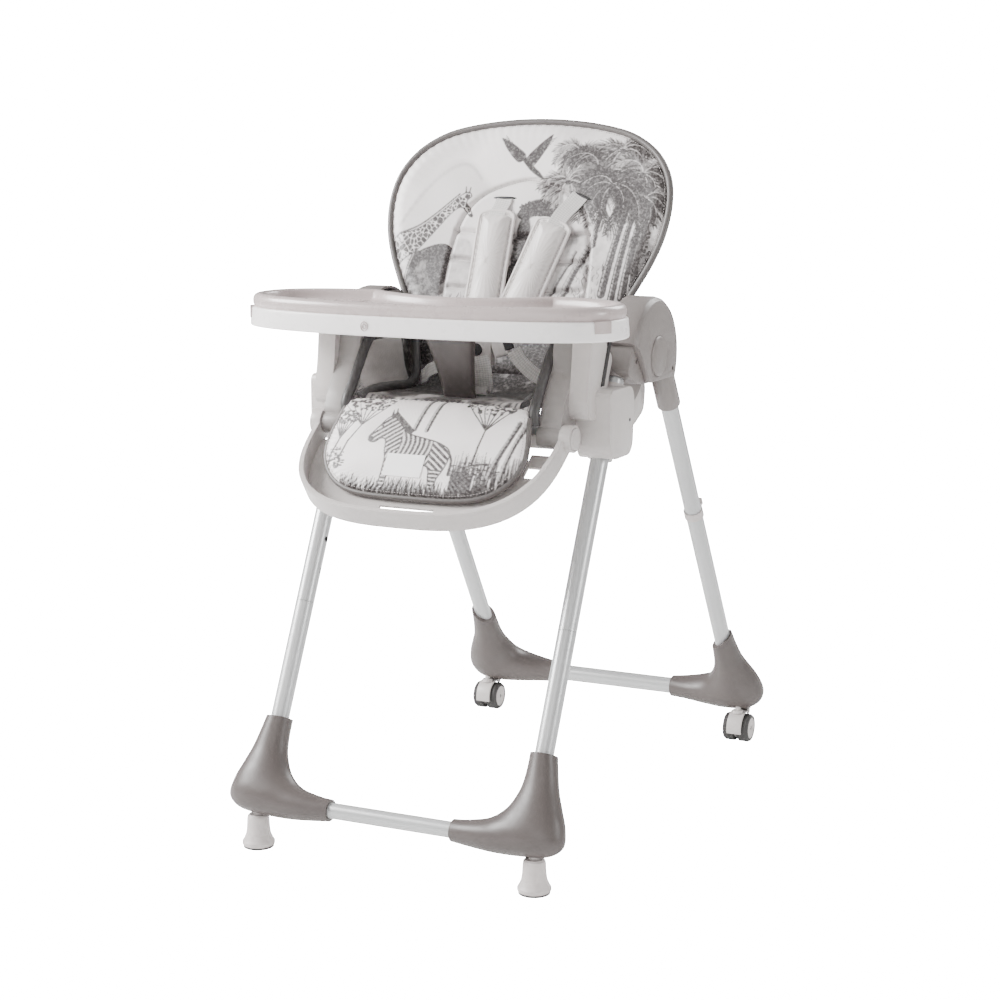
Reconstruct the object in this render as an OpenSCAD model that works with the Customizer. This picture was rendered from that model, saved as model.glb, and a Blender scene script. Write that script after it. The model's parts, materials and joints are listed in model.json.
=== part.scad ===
// Folding baby high chair, in millimetres. The child faces -Y, +Z is up, and the floor is z = 0.
// "left" is the sitter's left, which is +X. The frame is two leg pairs that fold about one hinge line;
// the seat hangs on two carriages that slide along the front leg tubes.

/* [Frame] */
// Outer diameter of the leg tubes
tube_d = 28; // [27:0.5:29]
// Wall of the leg tubes
tube_wall = 1.5; // [1:0.5:2]
// Lean of the front legs from upright, in degrees
front_lean = 26; // [25.5:0.5:26.5]
// Lean of the rear legs from upright, in degrees
rear_lean = 31.8; // [31.3:0.5:32.3]
// Sideways distance from the middle to a front leg tube
front_half = 219; // [218:1:220]
// Sideways distance from the middle to a rear leg tube
rear_half = 229; // [228:1:230]
// Height of the fold hinge line
pivot_z = 724; // [722:1:726]

/* [Seat] */
// Sideways distance from the middle to the outside of the seat shell
shell_half = 194; // [193:0.5:194]
// Height of the underside of the seat shell
shell_z = 606; // [604:1:608]
// Lean of the backrest from upright, in degrees
back_lean = 21.4; // [20:0.5:23]
// Slope of the leg rest below level, in degrees
legrest_slope = 35; // [33:1:37]

/* [Tray] */
// Half of the tray's width
tray_half = 298; // [294:1:301]
// Height of the tray's underside
tray_z = 774; // [774:1:777]
// Height of the tray base, up to the insert
tray_base_h = 29; // [28:1:31]
// Height of the insert's rim above the tray base
insert_h = 19; // [17:1:21]

/* [Soft goods] */
// Thickness of the seat cushion
seat_pad_t = 22; // [16:1:24]
// Thickness of the back cushion
back_pad_t = 28; // [20:1:28]

/* [Hidden] */
$fn = 64;
mid_depth = 42.6;
fit = 0.05;
tube_r = tube_d / 2;
front_foot_y = -418.6;
rear_foot_y = 514.9;
pivot_y = 5;
hub_r = 90;
hub_in = 198;
hub_out = 256;
pivot_r = 6;
seam_t = 389;
front_top_t = 848;
rear_top_t = 860;
front_bar_t = 82.6;
rear_bar_t = 93.5;
bar_d = 24;
foot_x = 228;
foot_y = -380;
caster_x = 243;
caster_y = 442.5;
caster_trail = 7;
wheel_r = 24.5;
leg_pivot = [-214, 625];
back_pivot = [-8, 645];
// Centre of the height button on the carriage: [across, height]; depth of the bottom of its recess
height_button_at = [223, 622];
height_button_floor = -89.2;
height_button_r = 10;
tray_rail_x = 178;
rail_post = 14;

// Cross-sections of a corner boot, in the plane of the leg tube and the cross bar:
// inner edge [across, along], outer edge [across, along], half depth.
front_boot_rows = [
    [[-20.5, 208], [20.5, 208], 20.5],
    [[-21, 184], [26, 184], 21],
    [[-24, 160], [33, 158], 22.5],
    [[-30, 143], [43, 132], 26],
    [[-37, 130], [52, 108], 29],
    [[-45, 121], [54, 82], 31],
    [[-55, 113], [34, 66], 31],
    [[-68, 107], [-5, 61], 28],
    [[-85, 103], [-50, 60], 25],
    [[-103, 100], [-90, 63], 20.5],
    [[-118, 99], [-118, 66], 16.5]
];
rear_boot_rows = [
    [[-20, 214], [18, 242], 20.5],
    [[-21, 198], [22, 212], 21.5],
    [[-23, 178], [29, 180], 23],
    [[-27, 160], [39, 156], 26.5],
    [[-34, 145], [49, 131], 31],
    [[-43, 132], [54, 102], 34],
    [[-54, 124], [40, 80], 35],
    [[-68, 119], [2, 72], 32],
    [[-85, 115], [-45, 73], 27],
    [[-102, 113], [-85, 75], 22],
    [[-117, 112], [-117, 75], 18.5]
];

// Fold hub outlines, from the hinge line: [back, up]
hub_cut = [[-31, -37], [100, -37], [100, 120], [-120, 120], [-120, 67.2]];
hub_body = [[-100, -18], [-66.8, -36.4], [-56, -31], [-44, -39], [8, -39], [8, 30], [-34, 42], [-62, 55],
    [-69.3, 44.9], [-82.5, 17.9]];

// Carriage outlines, upper shield and lower housing: [depth, height]
shield_side = [[-182, 768], [-188, 715], [-197, 672], [-196, 655], [-184, 648], [-138, 650], [-120, 700],
    [-104, 733], [-128, 752], [-128, 768]];
carriage_side = [[-168, 690], [-168, 604], [-156, 588], [-92, 588], [-80, 602], [-76, 672], [-86, 690]];
// Cheek outline: [depth, height]
cheek_side = [[-166, 766], [-178, 715], [-211, 670], [-222, 645], [-222, 610], [-120, 608], [-120, 766]];
// Side wall of the seat shell: [depth, height]
shell_side = [[-118, 606], [60, 606], [104, 626], [110, 668], [66, 690], [20, 698], [-118, 700]];

function mix(a, b, k) = a + (b - a) * k;
// Closed outline of a rounded rectangle whose sides bow out, by the superellipse rule
function bow(a, b, power, n) = [for (i = [0:n - 1]) let (c = cos(360 * i / n), s = sin(360 * i / n))
    [a * sign(c) * pow(abs(c), 2 / power), b * sign(s) * pow(abs(s), 2 / power)]];
// An outline with every corner turned into a small arc of about radius r
function softened(pts, r, n = 4) = [for (i = [0:len(pts) - 1])
    let (p = pts[i], a = pts[(i + len(pts) - 1) % len(pts)], b = pts[(i + 1) % len(pts)],
        ka = min(r, norm(a - p) * 0.45) / norm(a - p), kb = min(r, norm(b - p) * 0.45) / norm(b - p),
        s = mix(p, a, ka), e = mix(p, b, kb))
    for (j = [0:n]) let (k = j / n) mix(mix(s, p, k), mix(p, e, k), k)];

module centred() translate([0, -mid_depth, 0]) children();
module sided(side) mirror([side < 0 ? 1 : 0, 0, 0]) children();
module on_front(t) translate([front_half, front_foot_y, 0]) rotate([-front_lean, 0, 0])
    translate([0, 0, t]) children();
module on_rear(t) translate([rear_half, rear_foot_y, 0]) rotate([rear_lean, 0, 0])
    translate([0, 0, t]) children();
module at_hub(x) translate([x, pivot_y, pivot_z]) rotate([90, 0, 90]) children();
module pipe(r, wall, length) difference() {
    cylinder(r = r, h = length);
    translate([0, 0, -1]) cylinder(r = r - wall, h = length + 2);
}
// A plate between x0 and x1 with a side outline of [depth, height] points
module plate(x0, x1, pts) translate([x0, 0, 0]) rotate([90, 0, 90]) linear_extrude(x1 - x0) polygon(pts);
// A rod along X at [depth, height]
module rod(x0, x1, at, r) translate([x0, at[0], at[1]]) rotate([0, 90, 0]) cylinder(r = r, h = x1 - x0);
module ring_x(x0, x1, at, r, hole) difference() {
    rod(x0, x1, at, r);
    rod(x0 - 1, x1 + 1, at, hole);
}

// ---- boots, feet and bars ----
function boot_ring(row, n) = [for (i = [0:n - 1])
    let (a = row[0], b = row[1], m = (a + b) / 2, h = (b - a) / 2, c = cos(360 * i / n))
    [m[0] + h[0] * c, row[2] * sin(360 * i / n), m[1] + h[1] * c]];
module loft(rings) {
    n = len(rings[0]);
    last = len(rings) - 1;
    polyhedron(
        points = [for (r = rings) for (p = r) p],
        faces = concat(
            [[for (i = [n - 1:-1:0]) i]],
            [for (k = [0:last - 1]) for (i = [0:n - 1]) let (j = (i + 1) % n)
                each [[k * n + i, k * n + j, (k + 1) * n + j], [k * n + i, (k + 1) * n + j, (k + 1) * n + i]]],
            [[for (i = [0:n - 1]) last * n + i]]));
}
module boot_body(rows) mirror([0, 1, 0]) loft([for (row = rows) boot_ring(row, 24)]);
module front_boot(side) color("#8a8683") centred() sided(side) difference() {
    union() {
        on_front(0) boot_body(front_boot_rows);
        translate([foot_x, foot_y, 51]) cylinder(r = 13, h = 33);
    }
    on_front(120) cylinder(r = tube_r + fit, h = 140);
    on_front(front_bar_t) translate([-130, 0, 0]) rotate([0, 90, 0]) cylinder(r = bar_d / 2 + fit, h = 60);
    translate([foot_x, foot_y, 50]) cylinder(r = 8 + fit, h = 22);
}
module rear_boot(side) color("#6b6765") centred() sided(side) difference() {
    union() {
        on_rear(0) boot_body(rear_boot_rows);
        translate([caster_x, caster_y, 57]) cylinder(r = 15, h = 34);
    }
    on_rear(140) cylinder(r = tube_r + fit, h = 140);
    on_rear(rear_bar_t) translate([-130, 0, 0]) rotate([0, 90, 0]) cylinder(r = tube_r + fit, h = 60);
    translate([caster_x, caster_y, 50]) cylinder(r = 5 + fit, h = 32);
    for (spot = [[-6, 186], [2, 140]]) on_rear(spot[1]) translate([spot[0], -60, 0]) rotate([-90, 0, 0])
        cylinder(r = 3.2, h = 60 - tube_r - 3);
    on_rear(rear_bar_t) translate([-72, -60, 0]) rotate([-90, 0, 0]) cylinder(r = 3.2, h = 40);
}
module bell_feet() color("#d3cdca") centred() for (side = [-1, 1]) sided(side)
    translate([foot_x, foot_y, 0]) rotate_extrude()
    polygon([[0, 3], [23.5, 3], [24.5, 5], [24.5, 9], [22, 13], [19, 20], [17.5, 30], [16.8, 44],
        [16, 48], [13.5, 50.5], [8, 50.5], [8, 71], [0, 71]]);
module foot_pads() color("#4a4644") centred() for (side = [-1, 1]) sided(side)
    translate([foot_x, foot_y, 0]) cylinder(r = 23, h = 3);
module front_upper_tube(side) color("#d9dadb") centred() sided(side) on_front(seam_t) difference() {
    pipe(tube_r, tube_wall, front_top_t - seam_t);
    for (k = [0:5]) translate([0, 0, 301 - 50 * k]) rotate([0, -90, 0]) cylinder(r = 4.5, h = tube_r + 2);
}
module front_lower_tube(side) color("#d9dadb") centred() sided(side) on_front(122) union() {
    pipe(tube_r, tube_wall, seam_t - 122.5);
    translate([0, 0, seam_t - 124]) pipe(tube_r - tube_wall - fit, tube_wall, 62);
}
module front_cross_bar() color("#d9dadb") centred() translate([-front_half, 0, 0]) on_front(front_bar_t)
    translate([-front_half + 71, 0, 0]) rotate([0, 90, 0]) pipe(bar_d / 2, tube_wall, 2 * front_half - 142);
module rear_tube(side) color("#d9dadb") centred() sided(side) on_rear(142) pipe(tube_r, tube_wall,
    rear_top_t - 142);
module rear_cross_bar() color("#d9dadb") centred() translate([-rear_half, 0, 0]) on_rear(rear_bar_t)
    translate([-rear_half + 71, 0, 0]) rotate([0, 90, 0]) pipe(tube_r, tube_wall, 2 * rear_half - 142);

// ---- fold hubs ----
module front_hub(side) color("#8a8683") centred() sided(side) difference() {
    union() {
        at_hub(hub_in) cylinder(r = 83, h = 5);
        at_hub(hub_in) cylinder(r = 20, h = 25);
        at_hub(hub_in) difference() {
            linear_extrude(48.4) polygon(softened(hub_body, 8));
            translate([0, 0, 5]) cylinder(r = 37.5, h = 60);
        }
        on_front(775) cylinder(r = 18.5, h = 76);
    }
    on_front(770) cylinder(r = tube_r + fit, h = front_top_t - 770 + 0.2);
    at_hub(hub_in - 1) cylinder(r = pivot_r + 0.02, h = 60);
    at_hub(hub_in + 40) translate([-66, -2, 0]) cylinder(r = 4, h = 20);
}
module rear_hub(side) color("#8a8683") centred() sided(side) difference() {
    union() {
        at_hub(0) intersection() {
            difference() {
                rotate_extrude() polygon(concat([[0, 206], [hub_r, 206]],
                    [for (a = [0:30:90]) [hub_r - 14 + 14 * cos(a), hub_out - 14 + 14 * sin(a)]],
                    [[0, hub_out]]));
                translate([0, 0, 200]) cylinder(r = hub_r - 4, h = 47);
            }
            translate([0, 0, 190]) linear_extrude(80) polygon(hub_cut);
        }
        at_hub(224) cylinder(r = 35, h = 25);
        on_rear(748) cylinder(r = 18.6, h = 115);
    }
    on_rear(740) cylinder(r = tube_r + fit, h = rear_top_t - 740 + 0.2);
    at_hub(200) cylinder(r = pivot_r + fit, h = 70);
    at_hub(245) cylinder(r = 31, h = 20);
    at_hub(200) cylinder(r = 21, h = 24.5);
    at_hub(250) translate([74, 16, 0]) cylinder(r = 3.4, h = 10);
    at_hub(250) translate([60, -24, 0]) cylinder(r = 3.4, h = 10);
}
module pivot_bolts() color("#b9babb") centred() for (side = [-1, 1]) sided(side) union() {
    at_hub(193) cylinder(r = 10.5, h = 5);
    at_hub(193) cylinder(r = pivot_r, h = 54);
    at_hub(245.1) cylinder(r = 10, h = 3.5);
}
module fold_button(side) color("#8f8b88") centred() sided(side) at_hub(0) rotate_extrude()
    polygon([[0, 255.5], [14, 255.5], [14, 250], [30.4, 250], [30.4, 256.5], [29, 258.2], [26, 259],
        [0, 259.6]]);
module front_screws() color("#4b4b4d") centred() for (side = [-1, 1]) sided(side)
    at_hub(hub_in + 40.1) translate([-66, -2, 0]) cylinder(r = 3.8, h = 4);
module rear_screws() color("#4b4b4d") centred() for (side = [-1, 1]) sided(side) {
    at_hub(250.1) translate([74, 16, 0]) cylinder(r = 3.2, h = 3);
    at_hub(250.1) translate([60, -24, 0]) cylinder(r = 3.2, h = 3);
}
module tray_hooks() color("#d3cfcc") centred() for (side = [-1, 1]) sided(side) on_rear(512) union() {
    pipe(tube_r + 2, 2 - fit, 14);
    translate([-6, tube_r + 1, 2]) cube([12, 14, 6]);
    translate([-6, tube_r + 11, 2]) cube([12, 5, 12]);
}

// ---- casters ----
axle = [caster_y + caster_trail, wheel_r];
brake_at = [axle[0] + 19, axle[1] + 25];
module caster_housing(side) color("#cfcbc8") centred() sided(side) translate([caster_x, 0, 0]) union() {
    difference() {
        rod(-13, 13, axle, wheel_r + 4.5);
        rod(-14, 14, axle, wheel_r + 1.5);
        translate([-20, axle[0] - 60, axle[1] - 52]) cube([40, 120, 46]);
        translate([-20, axle[0] + 12, 0]) cube([40, 60, 80]);
    }
    difference() {
        intersection() {
            rod(-2.5, 2.5, axle, wheel_r + 2.5);
            translate([-3, axle[0] - 40, axle[1] - 6]) cube([6, 52, 60]);
        }
        rod(-3, 3, axle, 3.5 + fit);
    }
    translate([0, caster_y, wheel_r + 27]) cylinder(r = 9, h = 5.2);
    for (x = [-12, 9]) difference() {
        union() {
            rod(x, x + 3, brake_at, 5);
            translate([x, brake_at[0] - 16, brake_at[1] - 5]) cube([3, 14, 7]);
        }
        rod(x - 1, x + 4, brake_at, 2 + fit);
        rod(x - 1, x + 4, axle, wheel_r + 2);
    }
    translate([0, caster_y, 50]) cylinder(r = 5, h = 31);
}
module caster_axle(side) color("#b9babb") centred() sided(side) translate([caster_x, 0, 0])
    rod(-21, 21, axle, 3.5);
module caster_wheels(side) color("#cfcbc8") centred() sided(side) translate([caster_x, 0, 0])
    for (end = [-1, 1]) sided(end) ring_x(3.5, 22.5, axle, wheel_r - 6, 3.5 + fit);
module caster_tyres(side) color("#4a4644") centred() sided(side) translate([caster_x, 0, 0])
    for (end = [-1, 1]) sided(end) translate([0, axle[0], axle[1]]) rotate([0, 90, 0]) rotate_extrude()
        polygon([[wheel_r - 6, 3.6], [wheel_r - 1, 3.6], [wheel_r, 5], [wheel_r, 19], [wheel_r - 2, 22.5],
            [wheel_r - 6, 23.2]]);
module caster_brake(side) color("#8a8683") centred() sided(side) translate([caster_x, 0, 0]) union() {
    rod(-12, 12, brake_at, 2);
    rod(-8.5, 8.5, brake_at, 4);
    translate([-8.5, brake_at[0] + 2, brake_at[1]]) cube([17, 18, 3.6]);
}

// ---- seat ----
module carriage(side) color("#d3cfcc") centred() sided(side) difference() {
    union() {
        plate(shell_half + 2.1, 226, softened(shield_side, 10));
        plate(shell_half + 2.1, 250, softened(carriage_side, 12));
        on_front(651) cylinder(r = 19, h = 114);
    }
    on_front(560) cylinder(r = tube_r + 0.35, h = 260);
    on_front(690) translate([-30, 0, 0]) rotate([0, 90, 0]) cylinder(r = 4.6, h = 30);
    height_button_place() cylinder(r = height_button_r + 0.4, h = 40);
}
module height_button_place() translate([height_button_at[0], height_button_floor, height_button_at[1]])
    rotate([-90, 0, 0]) children();
module height_button(side) color("#8a8683") centred() sided(side) height_button_place() translate([0, 0, 3.2])
    cylinder(r = height_button_r, h = 10);
module seat_shell() color("#d3cfcc") centred() difference() {
    union() {
        translate([-shell_half, -118, shell_z]) cube([2 * shell_half, 178, 8]);
        translate([-158, -205, shell_z]) cube([316, 88, 8]);
        translate([-158, -205, shell_z]) cube([316, 8, 19]);
        for (side = [-1, 1]) sided(side) plate(shell_half - 8, shell_half, softened(shell_side, 12));
    }
    for (side = [-1, 1]) sided(side) rod(shell_half - 10, shell_half + 2, back_pivot, 6 + fit);
}
module seat_cheeks() color("#a5a19e") centred() for (side = [-1, 1]) sided(side) union() {
    plate(160, shell_half + 2, softened(cheek_side, 6));
    rod(160, shell_half + 2, leg_pivot, 17);
    rod(shell_half + 1, 205, leg_pivot, 8);
    translate([tray_rail_x - rail_post / 2, -164, 760]) cube([rail_post, 44, tray_z + 7.5 - 760]);
}
module seat_screws() color("#4b4b4d") centred() for (side = [-1, 1]) sided(side)
    for (z = [630, 668]) rod(shell_half - 12, shell_half - 8, [-90, z], 5);
module seat_pad() color("#efecea") centred() translate([0, -200, 650]) rotate([-5, 0, 0])
    translate([-154, 0, -seat_pad_t]) cube([308, 150, seat_pad_t]);
module lap_webbing() color("#c9c6c3") centred() translate([-14, -92, 655]) rotate([-4, 0, 0])
    cube([28, 3, 50]);
module buckle_body() color("#d3cfcc") centred() difference() {
    translate([-24, -98, 708]) cube([48, 16, 44]);
    translate([0, -99, 732]) rotate([-90, 0, 0]) cylinder(r = 9.3, h = 9);
}
module buckle_button() color("#4a4644") centred() translate([0, -99.5, 732]) rotate([-90, 0, 0])
    cylinder(r = 9, h = 6);

// ---- backrest ----
module on_back() translate([0, back_pivot[0], back_pivot[1]]) rotate([-back_lean, 0, 0]) children();
back_outline = [[-150, 30], [-184, 170], [-189, 330], [-176, 400], [-120, 440], [0, 446], [120, 440],
    [176, 400], [189, 330], [184, 170], [150, 30]];
shell_outline = [[-160, 22], [-178, 170], [-180, 330], [-160, 396], [-110, 424], [110, 424], [160, 396],
    [180, 330], [178, 170], [160, 22]];
module slab(pts, front, thick) translate([0, front + thick, 0]) rotate([90, 0, 0]) linear_extrude(thick)
    polygon(pts);
module back_pad() color("#efecea") centred() on_back() slab(softened(back_outline, 30), -24, back_pad_t);
module backrest_shell() color("#d3cfcc") centred() union() {
    on_back() difference() {
        slab(softened(shell_outline, 20), 6, 14);
        translate([0, -1, 0]) slab(softened([for (p = shell_outline) [p[0] * 0.9, mix(223, p[1], 0.9)]], 20),
            12, 20);
    }
    on_back() difference() {
        translate([-52, 11, 186]) cube([104, 18, 70]);
        translate([-44, 13, 194]) cube([88, 13, 54]);
        translate([-38, 12, 200]) cube([76, 20, 42]);
    }
    on_back() for (x = [-93, 87]) translate([x, 8, 45]) cube([6, 9, 350]);
    for (side = [-1, 1]) sided(side) {
        rod(170, 184, back_pivot, 16);
        rod(178, shell_half - 0.5, back_pivot, 6);
        on_back() translate([150, 7, 2]) cube([33, 9, 44]);
    }
}
module recline_handle() color("#8a8683") centred() on_back() difference() {
    translate([-43.5, 14, 194.5]) cube([87, 11, 44]);
    translate([-28, 13, 210]) cube([56, 14, 20]);
}
module shoulder_pad(side) color("#d5d2cf") centred() on_back() sided(side)
    translate([16, -36, 150]) cube([52, 11, 160]);

// ---- leg rest ----
loop_half = 204;
loop_reach = 187;
module on_leg() translate([0, leg_pivot[0], leg_pivot[1]]) rotate([legrest_slope, 0, 0]) children();
function loop_points(a, b, n) = [for (i = [0:n]) let (p = bow(a, b, 3, 2 * n)[i]) [p[0], -p[1]]];
module legrest_frame() color("#d3cfcc") centred() difference() {
    union() {
        on_leg() translate([0, 0, -20]) linear_extrude(32) difference() {
            polygon(loop_points(loop_half, loop_reach, 36));
            polygon(loop_points(loop_half - 7, loop_reach - 7, 36));
            translate([-180, -60]) square([360, 80]);
        }
        on_leg() translate([0, 0, -20]) linear_extrude(4) difference() {
            polygon(loop_points(loop_half - 3, loop_reach - 3, 36));
            translate([-150, -34]) square([300, 40]);
            translate([-210, -22]) square([420, 30]);
            translate([-44, -160]) square([88, 12]);
            for (side = [-1, 1]) translate([side * 165 - 11, -70]) square([22, 22]);
        }
        for (side = [-1, 1]) sided(side) rod(shell_half + 2.8, 214, leg_pivot, 20);
    }
    for (side = [-1, 1]) sided(side) {
        rod(shell_half, 205.5, leg_pivot, 8 + fit);
        rod(207.5, 220, leg_pivot, 16.4);
    }
}
module legrest_button(side) color("#cfcbc8") centred() sided(side) rod(210.5, 216.5, leg_pivot, 16);
module calf_pad() color("#efecea") centred() translate([0, -243, 646]) rotate([54, 0, 0])
    translate([0, 0, -6]) linear_extrude(14) difference() {
        polygon(loop_points(158, 131, 24));
        translate([-200, -4]) square([400, 20]);
    }

// ---- tray ----
tray_mid = -236;
tray_front = 115;
tray_rear = 120;
tray_wall = 4;
insert_gap = 4.6;
insert_rim = 16;
function tray_outline(grow) = [for (p = bow(tray_half + grow, 1, 2.5, 96))
    [p[0], tray_mid + p[1] * ((p[1] < 0 ? tray_front : tray_rear) + grow)]];
module belly(grow) translate([0, -100]) scale([(150 + grow) / (70 + grow), 1]) circle(r = 70 + grow, $fn = 96);
module tray_plan(grow) difference() {
    polygon(tray_outline(grow));
    belly(-grow);
}
module tray_rail_slots() for (side = [-1, 1])
    translate([side * tray_rail_x - rail_post / 2 - 0.4, -258, tray_z - 1]) cube([rail_post + 0.8, 160, 9.3]);
module tray_base() color("#f3f0ee") centred() difference() {
    translate([0, 0, tray_z]) linear_extrude(tray_base_h) difference() {
        tray_plan(0);
        tray_plan(-tray_wall);
    }
    tray_rail_slots();
}
module tray_deck() color("#f3f0ee") centred() difference() {
    union() {
        translate([0, 0, tray_z + tray_base_h - 16]) linear_extrude(10) tray_plan(-tray_wall);
        translate([0, 0, tray_z]) linear_extrude(16) intersection() {
            tray_plan(-tray_wall);
            for (side = [-1, 1]) translate([side * tray_rail_x - 12, -264]) square([24, 150]);
        }
        for (x = [-62, 54]) translate([x, -322, tray_z + 1]) cube([8, 34, 13]);
    }
    tray_rail_slots();
    translate([-58, -316, tray_z + 2.5]) cube([116, 22, 6]);
}
module crotch_post() color("#7d7876") centred() loft([for (k = [0:6])
    let (w = mix(25, 49, pow(k / 6, 1.6)), d = mix(9, 14, k / 6), z = mix(664, tray_z + 12.8, k / 6),
        y = mix(-152, -196, k / 6))
    [for (p = bow(w, d, 3.2, 24)) [p[0], y + p[1], z]]]);
module tray_insert() color("#cfc6c4") centred() translate([0, 0, tray_z + tray_base_h + 2])
    linear_extrude(insert_h - 2) difference() {
        tray_plan(-insert_gap);
        tray_plan(-insert_rim);
    }
module tray_insert_floor() color("#cfc6c4") centred() translate([0, 0, tray_z + tray_base_h - 5.8])
    linear_extrude(7.8) tray_plan(-insert_gap);
module tray_release() color("#cfc6c4") centred() union() {
    translate([-57, -312, tray_z + 2.8]) cube([114, 10, 5.4]);
    translate([-50, -324, tray_z + 0.5]) cube([100, 14, 10]);
}

front_upper_tube(1);  // front_upper_tube_left
front_upper_tube(-1);  // front_upper_tube_right
front_lower_tube(1);  // front_lower_tube_left
front_lower_tube(-1);  // front_lower_tube_right
front_cross_bar();
front_boot(1);  // front_boot_left
front_boot(-1);  // front_boot_right
bell_feet();
foot_pads();
front_hub(1);  // front_hub_left
front_hub(-1);  // front_hub_right
pivot_bolts();
front_screws();
rear_tube(1);  // rear_tube_left
rear_tube(-1);  // rear_tube_right
rear_cross_bar();
rear_boot(1);  // rear_boot_left
rear_boot(-1);  // rear_boot_right
rear_hub(1);  // rear_hub_left
rear_hub(-1);  // rear_hub_right
tray_hooks();
rear_screws();
fold_button(1);  // fold_button_left
fold_button(-1);  // fold_button_right
caster_housing(1);  // caster_housing_left
caster_housing(-1);  // caster_housing_right
caster_axle(1);  // caster_axle_left
caster_axle(-1);  // caster_axle_right
caster_wheels(1);  // caster_wheels_left
caster_wheels(-1);  // caster_wheels_right
caster_tyres(1);  // caster_tyres_left
caster_tyres(-1);  // caster_tyres_right
caster_brake(1);  // caster_brake_left
caster_brake(-1);  // caster_brake_right
carriage(1);  // carriage_left
carriage(-1);  // carriage_right
height_button(1);  // height_button_left
height_button(-1);  // height_button_right
seat_shell();
seat_cheeks();
seat_pad();
lap_webbing();
buckle_body();
buckle_button();
backrest_shell();
back_pad();
shoulder_pad(1);  // shoulder_pad_left
shoulder_pad(-1);  // shoulder_pad_right
recline_handle();
legrest_frame();
calf_pad();
legrest_button(1);  // legrest_button_left
legrest_button(-1);  // legrest_button_right
tray_base();
tray_deck();
crotch_post();
tray_insert();
tray_insert_floor();
tray_release();
seat_screws();
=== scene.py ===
"""Folding baby high chair: finishes, soft goods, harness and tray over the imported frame."""
import json
import math

import bmesh
import bpy
import numpy as np
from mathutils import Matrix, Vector


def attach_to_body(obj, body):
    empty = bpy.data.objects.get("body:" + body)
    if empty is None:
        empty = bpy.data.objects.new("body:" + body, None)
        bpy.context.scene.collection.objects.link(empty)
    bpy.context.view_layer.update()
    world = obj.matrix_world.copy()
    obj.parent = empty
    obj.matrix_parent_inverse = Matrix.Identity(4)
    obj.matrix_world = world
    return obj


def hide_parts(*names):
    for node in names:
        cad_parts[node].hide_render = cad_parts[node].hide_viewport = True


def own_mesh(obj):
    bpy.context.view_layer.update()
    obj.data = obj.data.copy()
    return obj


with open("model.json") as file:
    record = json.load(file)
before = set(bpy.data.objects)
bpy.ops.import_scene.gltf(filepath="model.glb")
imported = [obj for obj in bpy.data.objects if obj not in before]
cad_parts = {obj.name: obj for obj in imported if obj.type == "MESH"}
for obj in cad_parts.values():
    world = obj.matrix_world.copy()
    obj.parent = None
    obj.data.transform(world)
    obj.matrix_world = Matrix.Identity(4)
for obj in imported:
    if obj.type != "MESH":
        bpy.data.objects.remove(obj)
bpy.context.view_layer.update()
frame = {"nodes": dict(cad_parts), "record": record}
MID = 42.6                      # depth of the chair's middle in the shop drawing, mm
LEAN = math.radians(21.4)       # backrest from upright
BACK_PIVOT = (-8.0, 645.0)      # depth and height of the recline hinge, mm
SIDES = (("left", 1), ("right", -1))


def spot(x, y, z):
    """Shop-drawing millimetres to metres in the row frame."""
    return Vector((x / 1000, (y - MID) / 1000, z / 1000))


# ------------------------------------------------------------------ camera, light, floor
def look(target, azimuth, elevation, distance, lens):
    data = bpy.data.cameras.new("camera")
    camera = bpy.data.objects.new("camera", data)
    bpy.context.scene.collection.objects.link(camera)
    a, e = math.radians(azimuth), math.radians(elevation)
    away = Vector((math.sin(a) * math.cos(e), -math.cos(a) * math.cos(e), math.sin(e)))
    camera.location = target + away * distance
    camera.rotation_euler = (-away).to_track_quat("-Z", "Y").to_euler()
    data.lens, data.sensor_width = lens, 36
    bpy.context.scene.camera = camera


def lamp(name, place, target, size, power):
    data = bpy.data.lights.new(name, "AREA")
    data.shape, data.size, data.energy = "DISK", size, power
    light = bpy.data.objects.new(name, data)
    light.location = place
    light.rotation_euler = (Vector(place) - Vector(target)).to_track_quat("Z", "Y").to_euler()
    bpy.context.scene.collection.objects.link(light)


# aimed at, azimuth and elevation in degrees, metres away, lens in mm
look(spot(0, -14.6, 486.45), 25.494, 10.406, 3.360116, 76.97)
# name, place, aimed at, disk size in metres, watts
lamp("key", (-2.9, -1.5, 2.4), (0, 0, 0.55), 2.0, 410)
lamp("side", (3.1, -0.4, 1.3), (0, 0, 0.5), 1.0, 42)
lamp("fill", (0.9, -3.4, 1.3), (0, 0, 0.5), 2.2, 34)
lamp("rim", (0.9, 2.6, 2.6), (0, 0, 0.7), 1.8, 120)


# ------------------------------------------------------------------ finishes
class Field:
    """A shader socket that can be written in sums."""

    def __init__(self, finish, socket):
        self.finish, self.socket = finish, socket

    def maths(self, operation, a, b=0.0):
        return self.finish.node("ShaderNodeMath", {"operation": operation}, {0: a, 1: b})

    def __add__(self, other): return self.maths("ADD", self, other)
    def __radd__(self, other): return self.maths("ADD", other, self)
    def __mul__(self, other): return self.maths("MULTIPLY", self, other)
    def __rmul__(self, other): return self.maths("MULTIPLY", other, self)


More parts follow.
